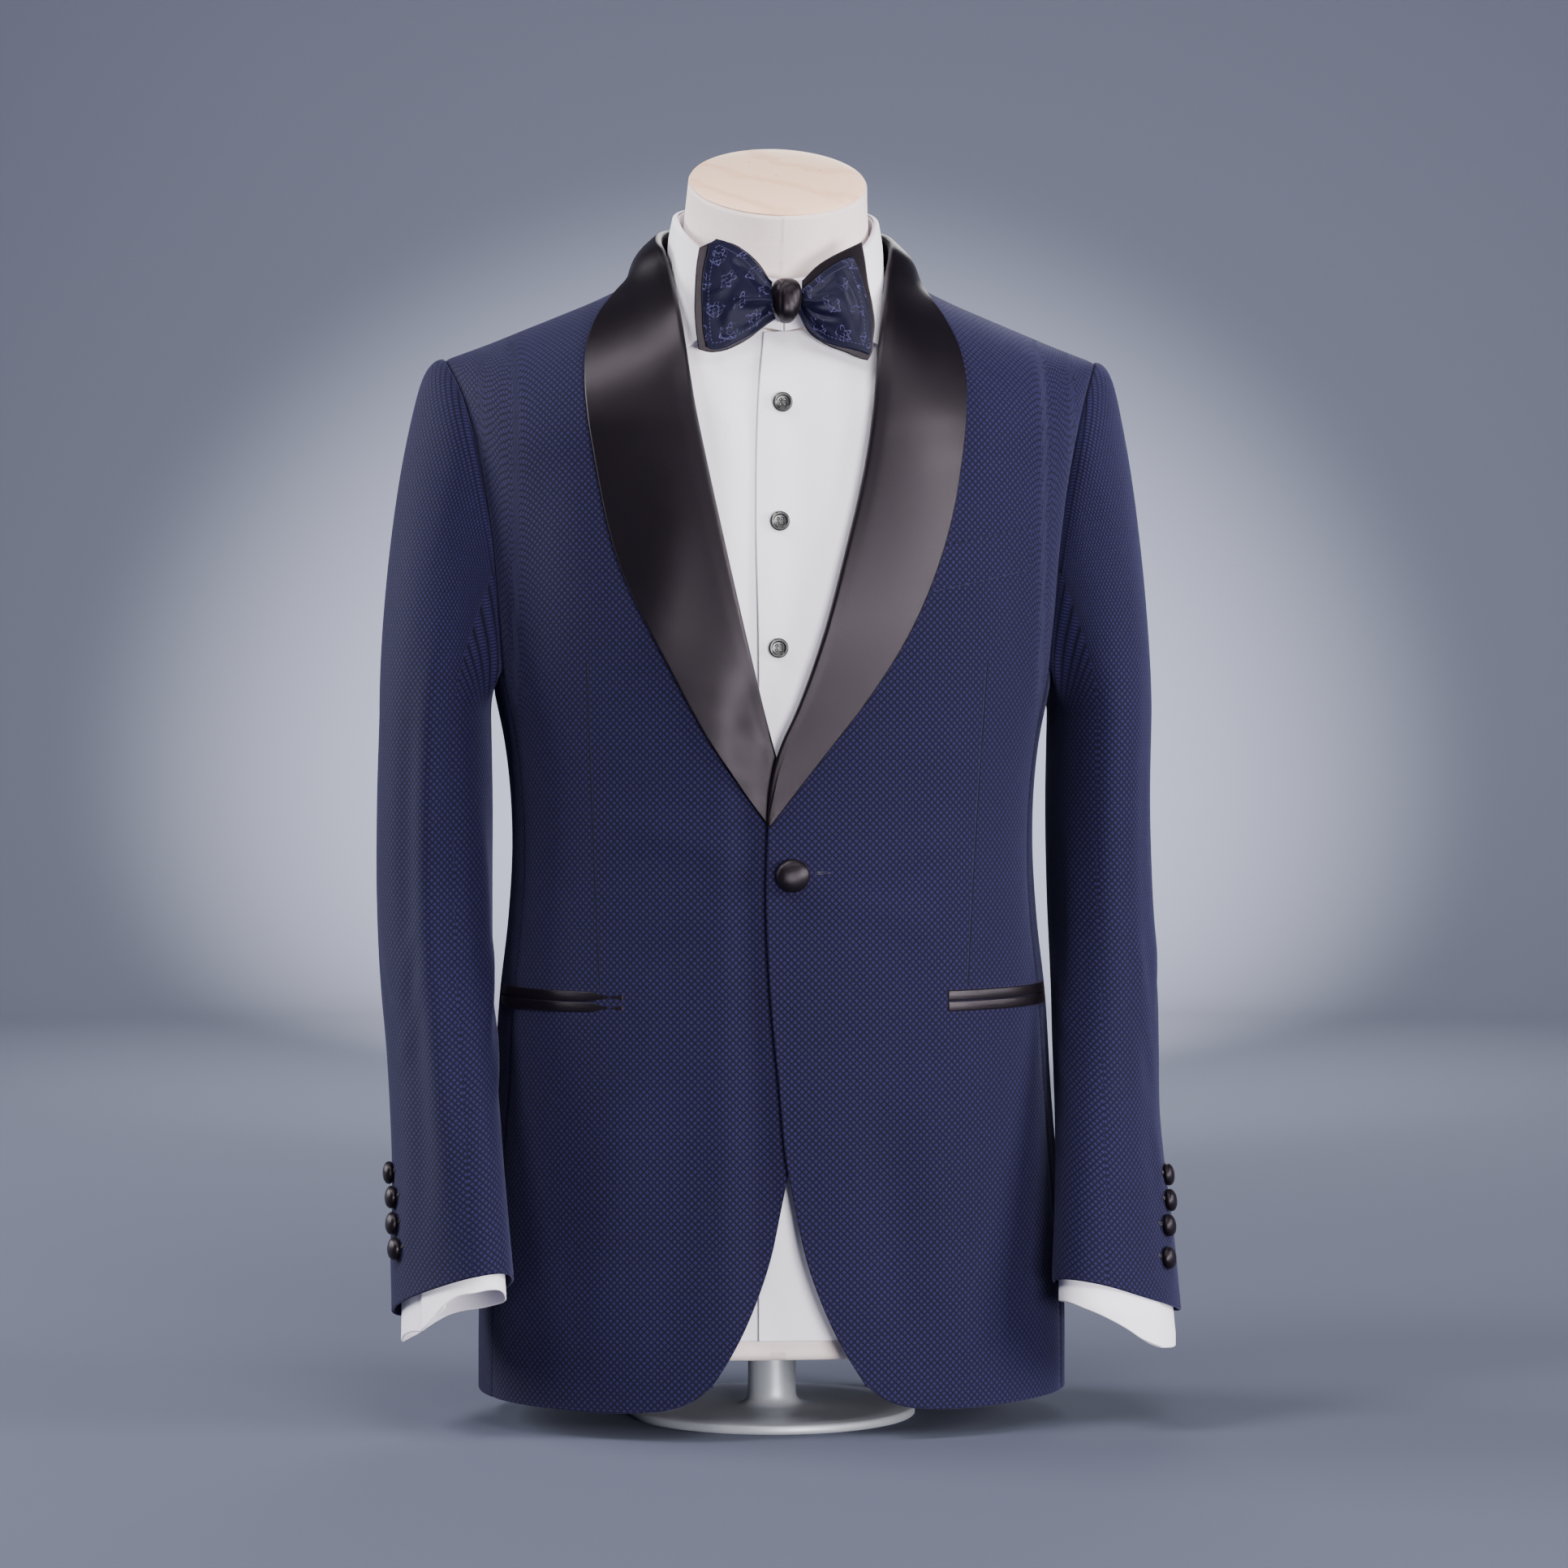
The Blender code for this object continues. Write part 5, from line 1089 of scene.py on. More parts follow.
# a worked buttonhole's edge: a tube of close stitches round a racetrack, its radius rippling
def buttonhole(name, spot, along, out, length, material, slot, width=1.15):
    along, out = unit(np.asarray(along, float)), unit(np.asarray(out, float))
    side = np.cross(out, along)
    s = np.linspace(0, 1, 72, endpoint=False)
    angle = 2 * pi * s
    path = (length / 2) * np.sign(np.cos(angle)) * np.abs(np.cos(angle)) ** 0.55
    away = width / 2 * np.sign(np.sin(angle)) * np.abs(np.sin(angle)) ** 0.55
    turn = np.linspace(0, 2 * pi, 8, endpoint=False)
    radius = 0.42 * (1 + 0.22 * np.sin(2 * pi * s * 36))[:, None]
    heading = unit(np.stack([path, away], -1))
    ringOut = heading[:, :1] * along + heading[:, 1:] * side
    centre = np.asarray(spot, float) + path[:, None] * along + away[:, None] * side
    grid = centre[:, None] + (np.cos(turn) * radius)[..., None] * ringOut[:, None]
    grid = grid + (np.sin(turn) * radius * 0.8 + 0.15)[..., None] * out
    quads = gridQuads(len(s), len(turn), True)
    last = np.arange(len(s)) * len(turn) + len(turn) - 1
    first = np.arange(len(s)) * len(turn)
    seal = np.stack([last, np.roll(last, -1), np.roll(first, -1), first], -1)
    item = fillMesh(name, grid.reshape(-1, 3), np.concatenate([quads, seal])[:, ::-1])
    return dress(item, material, slot)


for hand in ("left", "right"):
    lowest = pocket["z"] - pocket["height"] - pocket["split"]
    for part, low in (("Lower", lowest), ("Upper", pocket["z"] + pocket["split"])):
        strip = jetStrip(low, low + pocket["height"], cutting["gap"] + 0.25 + pocket["rise"], 60, 9)
        jet = clothPiece(
            f"jet{part}_{hand}", handed(hand, strip), pocket["rise"], looks["satin"], chest,
            [f"jet_{part.lower()}_{hand}"], None, (),
        )
        sheets[f"jacketFront_{hand}"]["with"].append(jet)  # too narrow to be a sheet of its own
lowOuter, highOuter, highInner, lowInner = welt["corners"]
low, high = np.linspace(lowInner, lowOuter, 40), np.linspace(highInner, highOuter, 40)
rows = np.linspace(0, 1, 14)[None, :, None]
flat = low[:, None] * (1 - rows) + high[:, None] * rows
skin, out = frontSkin(flat[..., 0], flat[..., 1], "left")
clothPiece(
    "breastWelt", skin + out * (cutting["gap"] + welt["thick"]), welt["thick"], looks["navy"], chest,
    ["breast_welt"], "folded", ["jacketFront_left"], uv=weaveOn(flat[..., 0], flat[..., 1], -1) + welt["shift"],
)
skin, out = frontSkin(np.array(frontButton["x"]), np.array(frontButton["z"]), "left")
coveredButton("frontButton", skin + out * 0.8, out, frontButton["width"], frontButton["height"], "front_button")
hole, holeOut = frontSkin(np.array(20.5), np.array(frontButton["z"] + 1.5), "left")
buttonhole("frontButtonhole", hole, (1, -0.07, 0.02), holeOut, 13, *looks["navyThread"])
for hand in ("left", "right"):
    downs = np.linspace(0, sleeveCut["length"], sleeveCut["tubeRows"])
    for i, turn in enumerate(cuffButtons[hand]):
        grid, way = sleevePatch(turn + np.linspace(-0.02, 0.02, 9), hand)
        row = sleeveCut["capRows"] + int(np.argmin(np.abs(downs - cuffButtons["down"][hand] - cuffButtons["step"] * i)))
        spot, out = grid[4, row], way[4, row]
        along = unit(grid[6, row] - grid[2, row])
        spot, out, along = (handed(hand, v) for v in (spot, out, along))
        coveredButton(
            f"cuffButton_{hand}_{i + 1}", spot + out * 0.35, out, cuffButtons["width"], cuffButtons["height"],
            f"cuff_button_{hand}_{i + 1}",
        )
        buttonhole(f"cuffButtonhole_{hand}_{i + 1}", spot + along * 5.5, along, out, 11, *looks["blackThread"])
print("pockets and buttons on")

# shirt

shirt = {
    "inset": 8.6, "hem": 64, "sink": 2.6, "lap": 9,
    "edge": ((-18, 64), (-18, 250), (-18, 420), (-18.5, 520), (-20, 600), (-16.5, 690), (-13, 719)),
    "neck": ((-13, 719), (12, 720.8), (33, 726.5), (55, 741), (64, 753), (67, 763)),
    "columns": 57, "rows": 145, "seamRow": 80, "neckRow": 104,
}
hang = columnsOf("z room", (10, 11), (100, 8), (200, 3.5), (300, 0.6), (380, 0.6), (450, 0), (800, 0))
shirtFolds = {
    "left": [
        (26, 706, 20, 470, 9, 1.5, 3), (48, 700, 40, 520, 10, 1.2, -3), (6, 690, 8, 480, 7, -0.8, -2),
        (30, 640, 64, 690, 8, 1.0, 2), (60, 660, 90, 560, 12, 1.2, 4), (0, 500, 16, 420, 9, 0.9, 2),
        (10, 160, 40, 70, 12, 1.4, 3), (-4, 150, -8, 70, 9, 0.9, -2),
    ],
    "right": [
        (34, 700, 30, 500, 9, 1.3, -3), (54, 690, 52, 560, 10, -1.0, 3), (26, 620, 50, 680, 8, 0.9, 2),
        (22, 480, 30, 400, 9, 0.9, -2), (40, 600, 36, 470, 10, 0.9, 4),
    ],
}


def shirtDepth(x, z, side):
    return depth(x, z, side, shirt["inset"]) - side * read(hang, "z", "room", z)


def shirtSide(side):  # the side seam, then the armhole
    edge = sideEdge(side, shirt["hem"], shirt["rows"], shirt["seamRow"], shirt["inset"], 1.0)
    seam = slice(0, shirt["seamRow"] + 1)
    edge[seam, 0] = read(body, "z", "width", edge[seam, 1]) - shirt["inset"] - read(hang, "z", "room", edge[seam, 1])
    return edge


def shirtFront(hand):
    under = hand == "right"
    columns, rows, neckRow = shirt["columns"], shirt["rows"], shirt["neckRow"]
    shares = np.sin(np.linspace(0, pi / 2, columns)) ** 0.87
    placket = [(-x - shirt["lap"], z) for x, z in shirt["edge"]] if under else shirt["edge"]
    neck = [placket[-1], *shirt["neck"][2 if under else 1:]]
    left = np.concatenate([
        trace(placket, 1 - (1 - np.linspace(0, 1, neckRow + 1)) ** 1.3),
        trace(neck, np.linspace(0, 1, rows - neckRow))[1:],
    ])
    right = shirtSide(-1)
    x = left[-1, 0] + (right[-1, 0] - left[-1, 0]) * shares
    top = np.stack([x, read(shoulder, "x", "z", x) - shirt["inset"]], -1)
    top[0], top[-1] = left[-1], right[-1]
    x = left[0, 0] + (right[0, 0] - left[0, 0]) * shares
    patch = coons(np.stack([x, np.full(columns, float(shirt["hem"]))], -1), top, left, right, shares)
    x, z = patch[..., 0], patch[..., 1]
    sink = shirt["sink"] * ease((45 - x) / 20) if under else 0
    rise = folded(x, z, shirtFolds[hand]) * ease((100 - x) / 30)
    if not under:
        rise = rise * ease((x + 16) / 10)
    return np.stack([x, shirtDepth(x, z, -1) + sink - rise, z], -1)


def shirtBack():
    columns, rows = 50, 100
    shares = np.sin(np.linspace(0, pi / 2, columns)) ** 0.8
    edge = shirtSide(1)
    right = np.stack([np.interp(np.linspace(0, 1, rows), np.linspace(0, 1, len(edge)), c) for c in edge.T], -1)
    heights = shirt["hem"] + (762 - shirt["hem"]) * rowShares(rows)
    left = np.stack([np.zeros(rows), heights], -1)
    x = right[-1, 0] * shares
    top = np.stack([x, np.minimum(read(shoulder, "x", "z", x) - shirt["inset"], 762)], -1)
    bottom = np.stack([right[0, 0] * shares, np.full(columns, float(shirt["hem"]))], -1)
    patch = coons(bottom, top, left, right, shares)
    x, z = patch[..., 0], patch[..., 1]
    half = np.stack([x, shirtDepth(x, z, 1), z], -1)
    return np.concatenate([mirrored(half[:0:-1]), half])


# collar band and leaf round the neck: angle from the front, lower edge and fold
neckLine = columnsOf(
    "angle low fold",
    (0, 719.9, 752), (30, 728.6, 760), (56, 745, 777), (90, 768, 797), (135, 765, 808), (180, 763, 812),
)
collar = {"bandLow": (66.8, -26.2, 64.4), "bandTop": (64.9, -29.9, 61.6), "fold": (66.2, -30.2, 63.4), "thick": 1.1}
leafEdge = columnsOf(
    "angle x y z",
    (3, 64, -98, 708), (38, 69.5, -80, 729), (68, 70.3, -52, 754), (95, 70.8, -14, 767), (140, 53, 26, 772),
    (180, 0, 40.1, 775),
)


def neckRing(shape, angles, heights):  # an oval round the neck: half width, middle in y, half depth
    halfWidth, centre, halfDepth = shape
    return np.stack([halfWidth * np.sin(angles), centre - halfDepth * np.cos(angles), heights + 0 * angles], -1)


def collarBand():
    degrees = np.linspace(0.6, 359.4, 160)
    away = np.minimum(degrees, 360 - degrees)
    low = neckRing(collar["bandLow"], np.radians(degrees), read(neckLine, "angle", "low", away))
    top = neckRing(collar["bandTop"], np.radians(degrees), read(neckLine, "angle", "fold", away) - 1.3)
    share = np.linspace(0, 1, 14)[None, :, None]
    return low[:, None] * (1 - share) + top[:, None] * share


def collarLeaf():
    degrees = np.linspace(4, 180, 90)
    angles = np.radians(degrees)
    fold = read(neckLine, "angle", "fold", degrees)
    edge = np.stack([read(leafEdge, "angle", name, degrees) for name in "xyz"], -1)
    resting = shirtDepth(edge[:, 0], edge[:, 2], -1) - 1.8
    edge[:, 1] = np.where(degrees < 60, np.minimum(edge[:, 1], resting), edge[:, 1])
    width, centre, deep = collar["fold"]
    rows = []
    for turn in np.linspace(0, pi / 2, 6):  # round the fold, from inside the band's top edge to the leaf
        more = 2.2 * np.sin(turn) - 0.9 * (1 - np.sin(turn))
        height = fold + 0.3 * np.cos(turn) - 1.6 * (1 - np.cos(turn))
        rows.append(neckRing((width + more, centre, deep + more), angles, height))
    start = rows[-1]
    for share in np.linspace(0, 1, 24)[1:]:
        swell = unit(start * np.array([1, 1, 0]) + np.array([0, 30, 0])) * np.sin(pi * share) * 1.2
        rows.append(start + (edge - start) * share + swell)
    half = np.stack(rows, 1)
    return np.concatenate([half, mirrored(half[-2::-1])])


cuffCut = {"start": 352, "end": 395, "turns": (0.15, 1.22), "thick": 1.3, "inset": {"left": 3.7, "right": 4.6}}
# how much further down a cuff's edge lies, round the sleeve from its outer side to the front, inside and back
cuffDroop = columnsOf(
    "turn left right",
    (0.0, 11, 4), (0.1, 20, 4), (0.15, 23, 6), (0.18, 23, 2.3), (0.21, 22, -3.2), (0.25, 18, -7.6), (0.31, 12.5, -8.1),
    (0.36, 8.5, -9), (0.42, 4, -9), (0.5, 0, -6), (0.62, -6, -9), (0.75, -10, -12), (0.88, -3, -2), (1.0, 11, 4),
    (1.05, 16, 3), (1.1, 20, 4), (1.15, 23, 6), (1.18, 23, 2.3), (1.25, 18, -7.6),
)


def cuffGrid(hand):
    turns = np.linspace(*cuffCut["turns"], 120)
    inset = cuffCut["inset"][hand] + 2.6 * (turns - turns[0]) / (turns[-1] - turns[0])
    droop = read(cuffDroop, "turn", hand, turns)
    share = np.linspace(0, 1, 22)[None]
    down = cuffCut["start"] + (cuffCut["end"] - cuffCut["start"] + droop[:, None]) * share
    return oval(turns[:, None] + 0 * share, down, hand, inset[:, None] + 0 * share)


sewnButton = {
    "radius": 6.5, "edge": 6.3, "back": 5.6, "holeX": 1.45, "hole": 0.95, "deep": 1.3, "around": 72,
    "shares": (0, 0.30, 0.62, 0.72, 0.86, 0.96, 1.0), "heights": (1.75, 1.75, 1.9, 2.35, 2.4, 1.9, 1.1),
}


# a sewn button: a turned rim and dish, pressed in at four holes by smooth dimples, with pale thread ends inside
def shirtButton(name, spot, node):
    spot = np.asarray(spot, float)
    radius = np.linspace(0, 1, 34)
    profile = np.interp(radius, sewnButton["shares"], sewnButton["heights"])
    angles = np.linspace(0, 2 * pi, sewnButton["around"], endpoint=False)
    x = sewnButton["radius"] * radius[None, 1:] * np.cos(angles)[:, None]
    z = sewnButton["radius"] * radius[None, 1:] * np.sin(angles)[:, None]
    holes = [(a * sewnButton["holeX"], b * sewnButton["holeX"]) for a in (-1, 1) for b in (-1, 1)]
    away = np.min([np.hypot(x - a, z - b) for a, b in holes], axis=0)
    height = profile[None, 1:] - sewnButton["deep"] * ease((sewnButton["hole"] - away) / 0.45)
    front = np.stack([x, -height, z], -1)
    edge, back = (
        np.stack([reach * np.cos(angles), np.full_like(angles, y), reach * np.sin(angles)], -1)
        for reach, y in ((sewnButton["edge"], -0.4), (sewnButton["back"], 0))
    )
    grid = np.concatenate([front, edge[:, None], back[:, None]], 1) + spot
    points, quads, tris = closedEnds(grid, spot + [0, -sewnButton["heights"][0], 0], spot)
    dress(fillMesh(name, points, quads[:, ::-1], tris[:, ::-1]), *looks["button"], node)
    places = [spot + [a, -0.95, b] for a, b in holes]
    stitches(name + "_thread", places, [(1, 0, 1), (1, 0, -1)] * 2, [(0, -1, 0)] * 4, 1.1, 0.62, *looks["whiteThread"])


for hand in ("left", "right"):
    clothPiece(
        f"shirtFront_{hand}", handed(hand, shirtFront(hand)), cutting["shirting"], looks["cotton"], chest,
        [f"shirt_front_{hand}"], "stretched", ["form_body"], levelTop=True,
    )
    grid = handed(hand, cuffGrid(hand))
    clothPiece(
        f"shirtCuff_{hand}", grid, cuffCut["thick"], looks["cotton"], np.mean(grid, (0, 1)), [f"shirt_cuff_{hand}"],
        "folded", [f"sleeve_top_{hand}"],
    )
for name, grid, thick, inside, node, held, restsOn in (
    ("shirtBack", shirtBack(), cutting["shirting"], chest, "shirt_back", "stretched", "form_body"),
    ("collarBand", collarBand(), cutting["shirting"], (0, -28, 760), "shirt_collar_band", "folded", "form_body"),
    ("collarLeaf", collarLeaf(), collar["thick"], (0, -28, 740), "shirt_collar_leaf", "folded", "shirt_collar_band"),
):
    clothPiece(name, grid, thick, looks["cotton"], inside, [node], held, [restsOn], levelTop=name == "shirtBack")
for i, (x, z, rise) in enumerate(((-2.6, 673, 0.9), (-5, 596, 0.4), (-6, 514, 0.4))):
    fold = float(folded(np.array(x), np.array(z), shirtFolds["left"])) * float(ease((x + 16) / 10))
    spot = (x, float(shirtDepth(x, z, -1)) - rise - max(fold, 0), z)
    shirtButton(f"shirtButton_{i + 1}", spot, f"shirt_button_{i + 1}")
print("shirt made")

# bow tie

# outlines of each wing's layers, x away from the middle and z: at the knot, outside, below and above
wings = {
    "right": {
        "side": -1,
        "front": {
            "inner": ((7.5, 727), (9.0, 733), (9.6, 741), (9.7, 750)),
            "outer": (
                (51.4, 708.3), (53.2, 716.7), (54.2, 730.7), (54.6, 744.7), (53.7, 755.8), (51.3, 767),
                (48.7, 775), (45.6, 777.3),
            ),
            "low": (
                (7.5, 727), (12.5, 724.4), (17.1, 720.4), (24.7, 715.5), (33.1, 711.2), (41.5, 707.4),
                (47.1, 706.6), (51.4, 708.3),
            ),
            "top": (
                (9.7, 750), (13.6, 754.2), (19, 761.2), (25.6, 768), (33.1, 772.8), (41, 776.3), (45.6, 777.3),
            ),
        },
        "back": {
            "inner": ((8.0, 726.2), (9.8, 738), (10.1, 751.3)),
            "outer": ((56.8, 707), (58.2, 716.9), (59.3, 730.9), (59.1, 744.8), (57.7, 763.5), (56.2, 772)),
            "low": ((8.0, 726.2), (14, 722), (24.4, 713.9), (31.9, 709.6), (41.3, 706), (50.7, 705.3), (56.8, 707)),
            "top": ((10.1, 751.3), (16.9, 761.6), (26.3, 770), (35.6, 775), (47, 775.8), (56.2, 772)),
        },
    },
    "left": {
        "side": 1,
        "front": {
            "inner": ((8.5, 731), (9.9, 736), (10.4, 741), (10.5, 744.8)),
            "outer": (
                (53.4, 704), (54.3, 712.6), (54.3, 726.6), (52.9, 736), (50.5, 745.3), (46.7, 757.4), (43, 766.5),
            ),
            "low": (
                (8.5, 731), (10.8, 725.4), (15.7, 718.4), (23.2, 713), (32.6, 709.3), (42.1, 707.4),
                (47.7, 706), (53.4, 704),
            ),
            "top": ((10.5, 744.8), (15.7, 749.5), (21.3, 754.7), (27.9, 759.6), (34.5, 763.6), (43, 766.5)),
        },
        "back": {
            "inner": ((8.6, 730), (10.2, 738), (10.6, 751.5)),
            "outer": (
                (52.7, 700.4), (54.8, 704.4), (56.2, 714.7), (57.1, 722.2), (55.6, 736.2), (52.9, 749.3),
                (50.8, 764.2), (48.6, 776),
            ),
            "low": (
                (8.6, 730), (10.9, 724.8), (15.5, 717.7), (23, 712.2), (32, 707.8), (39.5, 705.2), (48, 701.6),
                (52.7, 700.4),
            ),
            "top": ((10.6, 751.5), (20.7, 761.4), (30.1, 767.2), (39.5, 771.8), (48.6, 776)),
        },
    },
}
# folds of each wing over its own patch, 44 across from the knot and 56 up: from, to, half width, height and bow
wingFolds = {
    "right": [
        (0, 27, 26, 25, 3.2, 1.5, 0), (3, 38, 30, 47, 3.0, -1.3, 2), (30, 50, 42, 26, 4.5, 1.1, -5),
        (36, 20, 30, 4, 4, -0.9, 2), (2, 18, 22, 8, 3.2, 0.9, -1),
    ],
    "left": [
        (0, 30, 24, 34, 3.2, 1.6, 1), (2, 22, 26, 20, 2.8, -1.2, -1), (34, 48, 38, 8, 3.2, -1.3, 2),
        (4, 42, 30, 50, 4.0, 0.9, -2), (2, 14, 24, 6, 3.4, 0.9, 1),
    ],
}
wingCut = {"across": 44, "up": 56, "dome": 4.5, "near": 2.4, "frontY": -109.5, "backY": -107.3, "lean": 2}
knot = {"centre": (0.2, -104.5, 738.5), "half": (10.4, 13.2, 14.6), "taper": 0.38}


# a wing's layer: the patch between its traced edges, domed as sin(pi u) sin(pi v), waved as cos(3 pi v) at the
# knot, with its own folds in shares of the patch
def wing(which, back):
    outline = wings[which]["back" if back else "front"]
    u, v = np.linspace(0, 1, 64), np.linspace(0, 1, 56)
    along = (("low", u), ("top", u), ("inner", v), ("outer", v))
    patch = coons(*(trace(outline[name], share) for name, share in along))
    u, v = u[:, None], v[None, :]
    dome = np.sin(pi * np.clip(u * 0.9 + 0.1, 0, 1)) * np.sin(pi * v) * wingCut["dome"]
    near = wingCut["near"] * (1 - u) ** 1.5
    if back:
        y = wingCut["backY"] + near - dome * 0.45 - wingCut["lean"] * u
    else:
        y = wingCut["frontY"] - np.cos(3 * pi * (v - 0.5)) * near - dome - wingCut["lean"] * u
        folds = folded(u * wingCut["across"], v * wingCut["up"], wingFolds[which])
        y = y - folds * ease(np.minimum(v, 1 - v) / 0.06) * ease((1 - u) / 0.06)
    return np.stack([patch[..., 0] * wings[which]["side"], y, patch[..., 1]], -1)


for which in ("left", "right"):
    for back, layer, look in ((False, "Front", "silk"), (True, "Back", "satin")):
        grid = wing(which, back)
        fromEdge = np.minimum(np.abs(runOf(grid, 0, -1)), np.minimum(runOf(grid, 1), np.abs(runOf(grid, 1, -1))))
        clothPiece(
            f"bow{layer}_{which}", grid, 1.0, looks[look], (0, 0, 740), [f"bow_{layer.lower()}_{which}"], "folded",
            ["bow_knot"], line=fromEdge - figures["band"],
        )

# the knot: a rounded cushion, |sphere|^0.72 on each axis, narrowed downwards, a slanting tuck and a side pleat
# pressed in
turn = np.linspace(0, 2 * pi, 72, endpoint=False)[:, None]
lift = np.linspace(-pi / 2, pi / 2, 46)[None, 1:-1]
ball = np.stack([np.cos(turn) * np.cos(lift), np.sin(turn) * np.cos(lift), np.sin(lift) + 0 * turn], -1)
square = np.sign(ball) * np.abs(ball) ** 0.72
inFront = ease((-square[..., 1]) / 0.5)
tuck = np.exp(-(((square[..., 0] * 0.9 + square[..., 2] * 0.55 - 0.25) / 0.13) ** 2)) * inFront
pleat = np.exp(-(((square[..., 0] + 0.45 - square[..., 2] * 0.12) / 0.10) ** 2)) * inFront
square = square * (1 - 0.055 * tuck - 0.045 * pleat)[..., None]
square[..., 0] *= 1 - knot["taper"] * ((1 - square[..., 2]) / 2) ** 2.2
grid = np.array(knot["centre"]) + np.array(knot["half"]) * square
ends = np.array(knot["centre"]) + np.array(knot["half"]) * np.array([[0, 0, -1.0], [0, 0, 1.0]])
points, quads, tris = closedEnds(grid, *ends)
uv = np.stack([points[:, 0] + points[:, 1], points[:, 2]], -1) * 0.001
knotPiece = dress(fillMesh("bowKnot", points, quads, tris, uv=uv), *looks["satin"], "bow_knot")
print("bow tied")

# dress form

form = {
    "clear": shirt["inset"] + cutting["shirting"] + 4.5, "bottom": 50, "top": 735, "columns": 160, "rows": 130,
    "rings": (56, 120, 200, 280, 340, 400, 460, 530, 590, 640, 672, 692, 708, 722),
    "rim": ((0, 0.955), (0.5, 0.972), (1.8, 0.986), (3.6, 0.996)),  # the lower edge: rise and share of the width
}
neckRings = columnsOf(
    "y z tilt halfWidth halfDepth",
    (-27.5, 751.5, 17.5, 66, 56.5), (-27, 767.5, 20, 63.2, 56.5), (-29, 783, 23.5, 61.8, 57.8),
    (-35.7, 802, 26.2, 60.2, 58.8), (-44.5, 819.5, 26.5, 58.8, 58.6),
)
cap = {
    "tilt": radians(26.5), "radius": 58.4, "base": (0, -44.5, 819.5),
    "profile": ((0, 9.5), (0.35, 8.8), (0.65, 6.8), (0.86, 4.2), (0.96, 2.2), (0.995, 0.9), (0.985, 0)),
}
foot = (
    (95.2, 0), (96, 0.6), (96.1, 2.4), (96, 4.4), (95.5, 5.4), (94.4, 6), (80, 6.1), (50, 6.2), (26, 6.3), (21.5, 6.9),
    (18.4, 8.6), (16.7, 11), (16.1, 14), (16, 20), (16, 34), (16, 48.4), (15.7, 49.3), (14.8, 49.6),
)


def formRing(z, angles):
    inset = form["clear"] + read(hang, "z", "room", z) + 2.4 * ease((z - 620) / 60)
    x = np.linspace(0, 240, 481)
    ridge = x[read(shoulder, "x", "z", x) - inset > z]
    reach = min(float(read(body, "z", "width", z) - inset), float(ridge[-1]) if len(ridge) else 0)
    front = np.cos(angles) > 0
    power = np.where(front, bodyPower[-1], bodyPower[1])
    across = reach * np.sign(np.sin(angles)) * np.abs(np.sin(angles)) ** (2 / power)
    z = np.full_like(across, z)
    return np.stack([across, np.where(front, depth(across, z, -1, inset), depth(across, z, 1, inset)), z], -1)


angles = np.linspace(0, 2 * pi, form["columns"], endpoint=False)
rings = [formRing(z, angles) for z in (*form["rings"], form["top"])]
for y, z, tilt, halfWidth, halfDepth in zip(*neckRings.values()):
    along = -halfDepth * np.cos(angles)
    tilt = np.radians(tilt)
    rings.append(np.stack([halfWidth * np.sin(angles), y + along * np.cos(tilt), z + along * np.sin(tilt)], -1))
grid = resampled(np.stack(rings, 1), form["rows"])
drop = form["bottom"] - form["rings"][0]
rim = [grid[:, 0] * np.array([share, share, 1]) + [0, 0, drop + lift] for lift, share in form["rim"]]
grid = np.concatenate([np.stack(rim, 1), grid], 1)
points, quads, tris = closedEnds(grid, np.mean(grid[:, 0], 0), np.mean(grid[:, -1], 0))
around = runOf(np.concatenate([grid, grid[:1]]), 0)[:-1]
uv = np.concatenate([np.stack([around, runOf(grid, 1)], -1).reshape(-1, 2), [[0, 0], [0, 700]]]) * 0.001
dress(fillMesh("formBody", points, quads, tris, uv=uv), *looks["canvas"], "form_body")
up = np.array([0, -np.sin(cap["tilt"]), np.cos(cap["tilt"])])
share, height = np.array(cap["profile"][::-1], float).T
knots, at = np.linspace(0, 1, len(share)), np.linspace(0, 1, 40)
profile = (cap["radius"] * np.maximum(smooth(knots, share, at), 0.004), smooth(knots, height, at) + cutting["gap"])
points, quads, tris = turnedBody(np.stack(profile, -1), 96, cap["base"], up, (1, 0, 0))
dress(fillMesh("formCap", points, quads, tris), *looks["wood"], "form_cap")
points, quads, tris = turnedBody(foot, 128)
dress(fillMesh("formFoot", points, quads, tris), *looks["steel"], "form_foot")
print("dress form stood up")

# floor, light and camera

studio = {"floor": (0.088, 0.096, 0.138), "level": 3.5, "bend": 1.3, "world": 0.02, "aim": (0, 0, 0.45)}
# each soft lamp: azimuth and height angle from the form's middle, width and height, watts and colour
lamps = {
    "keyLight": (18, -3.5, 1.2, 0.46, 145.0, (1.0, 0.985, 0.97)),
    "rightLight": (68, 10, 1.2, 1.2, 150.0, (1.0, 0.985, 0.97)),
    "highLight": (10, 44, 1.2, 1.2, 50.0, (1.0, 0.99, 0.98)),
    "topLight": (0, 80, 1.2, 1.2, 24.0, (1.0, 0.99, 0.98)),
    "leftLight": (-62, 50, 1.0, 1.0, 90.0, (1.0, 0.99, 0.98)),
    "sideLight": (-106, 16, 1.2, 1.5, 150.0, (0.97, 0.98, 1.0)),
    "rimLight": (168, 28, 1.2, 1.2, 30.0, (1.0, 0.99, 0.98)),
}
glow = {"place": (0.10, 0.60, 0.90), "turn": (78.9, 0, -4.4), "color": (1.0, 0.96, 0.86), "soft": 0.05}
lens = {"length": 113.14, "sensor": 36.0, "place": (-0.2895, -3.2846, 0.524), "turn": (88.24, 0, -5.1415)}


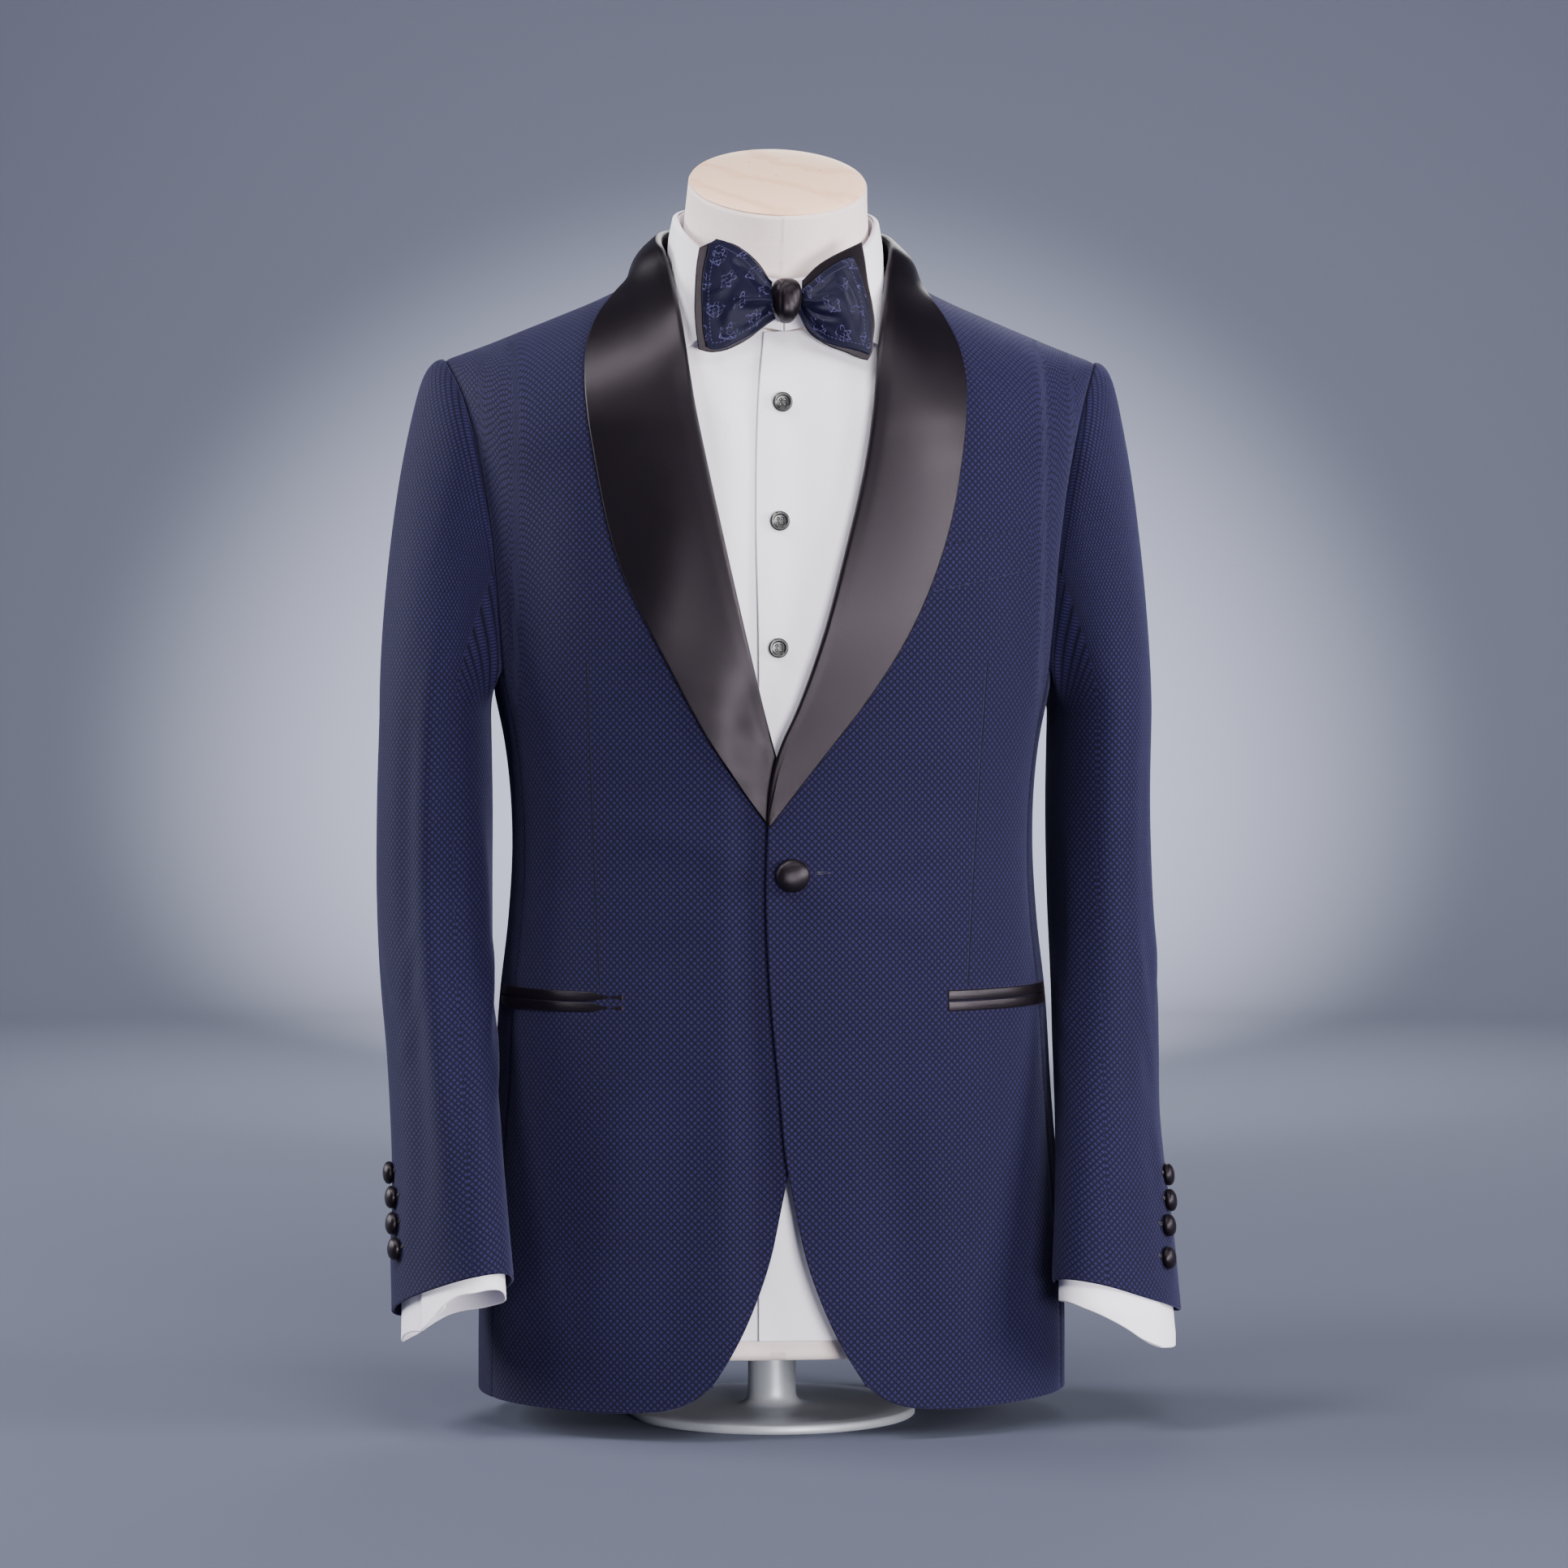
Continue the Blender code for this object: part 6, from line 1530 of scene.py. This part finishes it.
def sweep():  # a floor disc that bends up by a quarter circle into a wall all round
    t = np.linspace(0, pi / 2, 40)[1:]
    radius = np.concatenate([np.linspace(0.05, studio["level"], 12), studio["level"] + studio["bend"] * np.sin(t)])
    height = np.concatenate([np.zeros(12), studio["bend"] * (1 - np.cos(t))])
    radius, height = np.append(radius, [radius[-1]] * 2), np.append(height, [4.0, 9.0])
    points, quads, tris = turnedBody(np.stack([radius, height], -1) * 1000, 128)
    item = fillMesh("studioSweep", points + middle, quads[:, ::-1], tris[:128, ::-1])
    look = Look("studioPaper", Roughness=0.95, Specular_IOR_Level=0.1)
    grain = look.noise(look.object(), 2.0, 2.0)
    tint = look.blend(0.4 + grain * 0.2, tuple(c * 0.97 for c in studio["floor"]), studio["floor"])
    item.data.materials.append(look.feed(Base_Color=tint))
    item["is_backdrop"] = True


def lamp(name, place, aim, size, power, color):  # a soft lamp that the camera itself does not see
    data = bpy.data.lights.new(name, "AREA")
    data.shape, data.size, data.size_y, data.energy, data.color = "RECTANGLE", size[0], size[1], power, color
    item = bpy.data.objects.new(name, data)
    bpy.context.scene.collection.objects.link(item)
    way = unit(np.array(aim, float) - np.array(place, float))
    item.visible_camera = False
    item.location = place
    item.rotation_euler = (np.arccos(-way[2]), 0, np.arctan2(way[0], -way[1]) + pi)


def around(azimuth, lift, away=3.2):  # a place seen from the form's middle at an azimuth and a height angle
    level = away * np.cos(radians(lift))
    height = studio["aim"][2] + away * np.sin(radians(lift))
    return level * np.sin(radians(azimuth)), -level * np.cos(radians(azimuth)), height


sweep()
for name, (azimuth, lift, wide, high, power, color) in lamps.items():
    lamp(name, around(azimuth, lift), studio["aim"], (wide, high), power, color)
lamp("wallLight", (0.3, 2.2, 1.9), (0.4, 3.6, 0.0), (2.4, 1.0), 80.0, (1.0, 0.97, 0.90))
# two spots behind the form throw a round glow on the wall
for name, cone, power in (("glowLight", 34.0, 6100.0), ("hazeLight", 70.0, 250.0)):
    data = bpy.data.lights.new(name, "SPOT")
    data.energy, data.spot_size, data.spot_blend, data.shadow_soft_size = power, radians(cone), 1.0, glow["soft"]
    data.color = glow["color"]
    item = bpy.data.objects.new(name, data)
    item.location, item.rotation_euler = glow["place"], [radians(angle) for angle in glow["turn"]]
    item.visible_camera = False
    bpy.context.scene.collection.objects.link(item)
world = bpy.data.worlds.new("studioAir")
world.use_nodes = True
world.node_tree.nodes["Background"].inputs["Color"].default_value = (0.80, 0.86, 0.95, 1)
world.node_tree.nodes["Background"].inputs["Strength"].default_value = studio["world"]
bpy.context.scene.world = world
cameraData = bpy.data.cameras.new("camera")
cameraData.lens, cameraData.sensor_width = lens["length"], lens["sensor"]
camera = bpy.data.objects.new("camera", cameraData)
camera.location, camera.rotation_euler = lens["place"], [radians(angle) for angle in lens["turn"]]
bpy.context.scene.collection.objects.link(camera)
bpy.context.scene.camera = camera

for name, cut in sheets.items():
    wide, long, area = cut["size"]
    print("sheet", name, "cut", [round(wide * 1000), round(long * 1000)], "mm, area", round(area, 4), "m2")
triangles = sum(sum(len(p.vertices) - 2 for p in item.data.polygons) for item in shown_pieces() if item.type == "MESH")
print("triangles:", triangles)
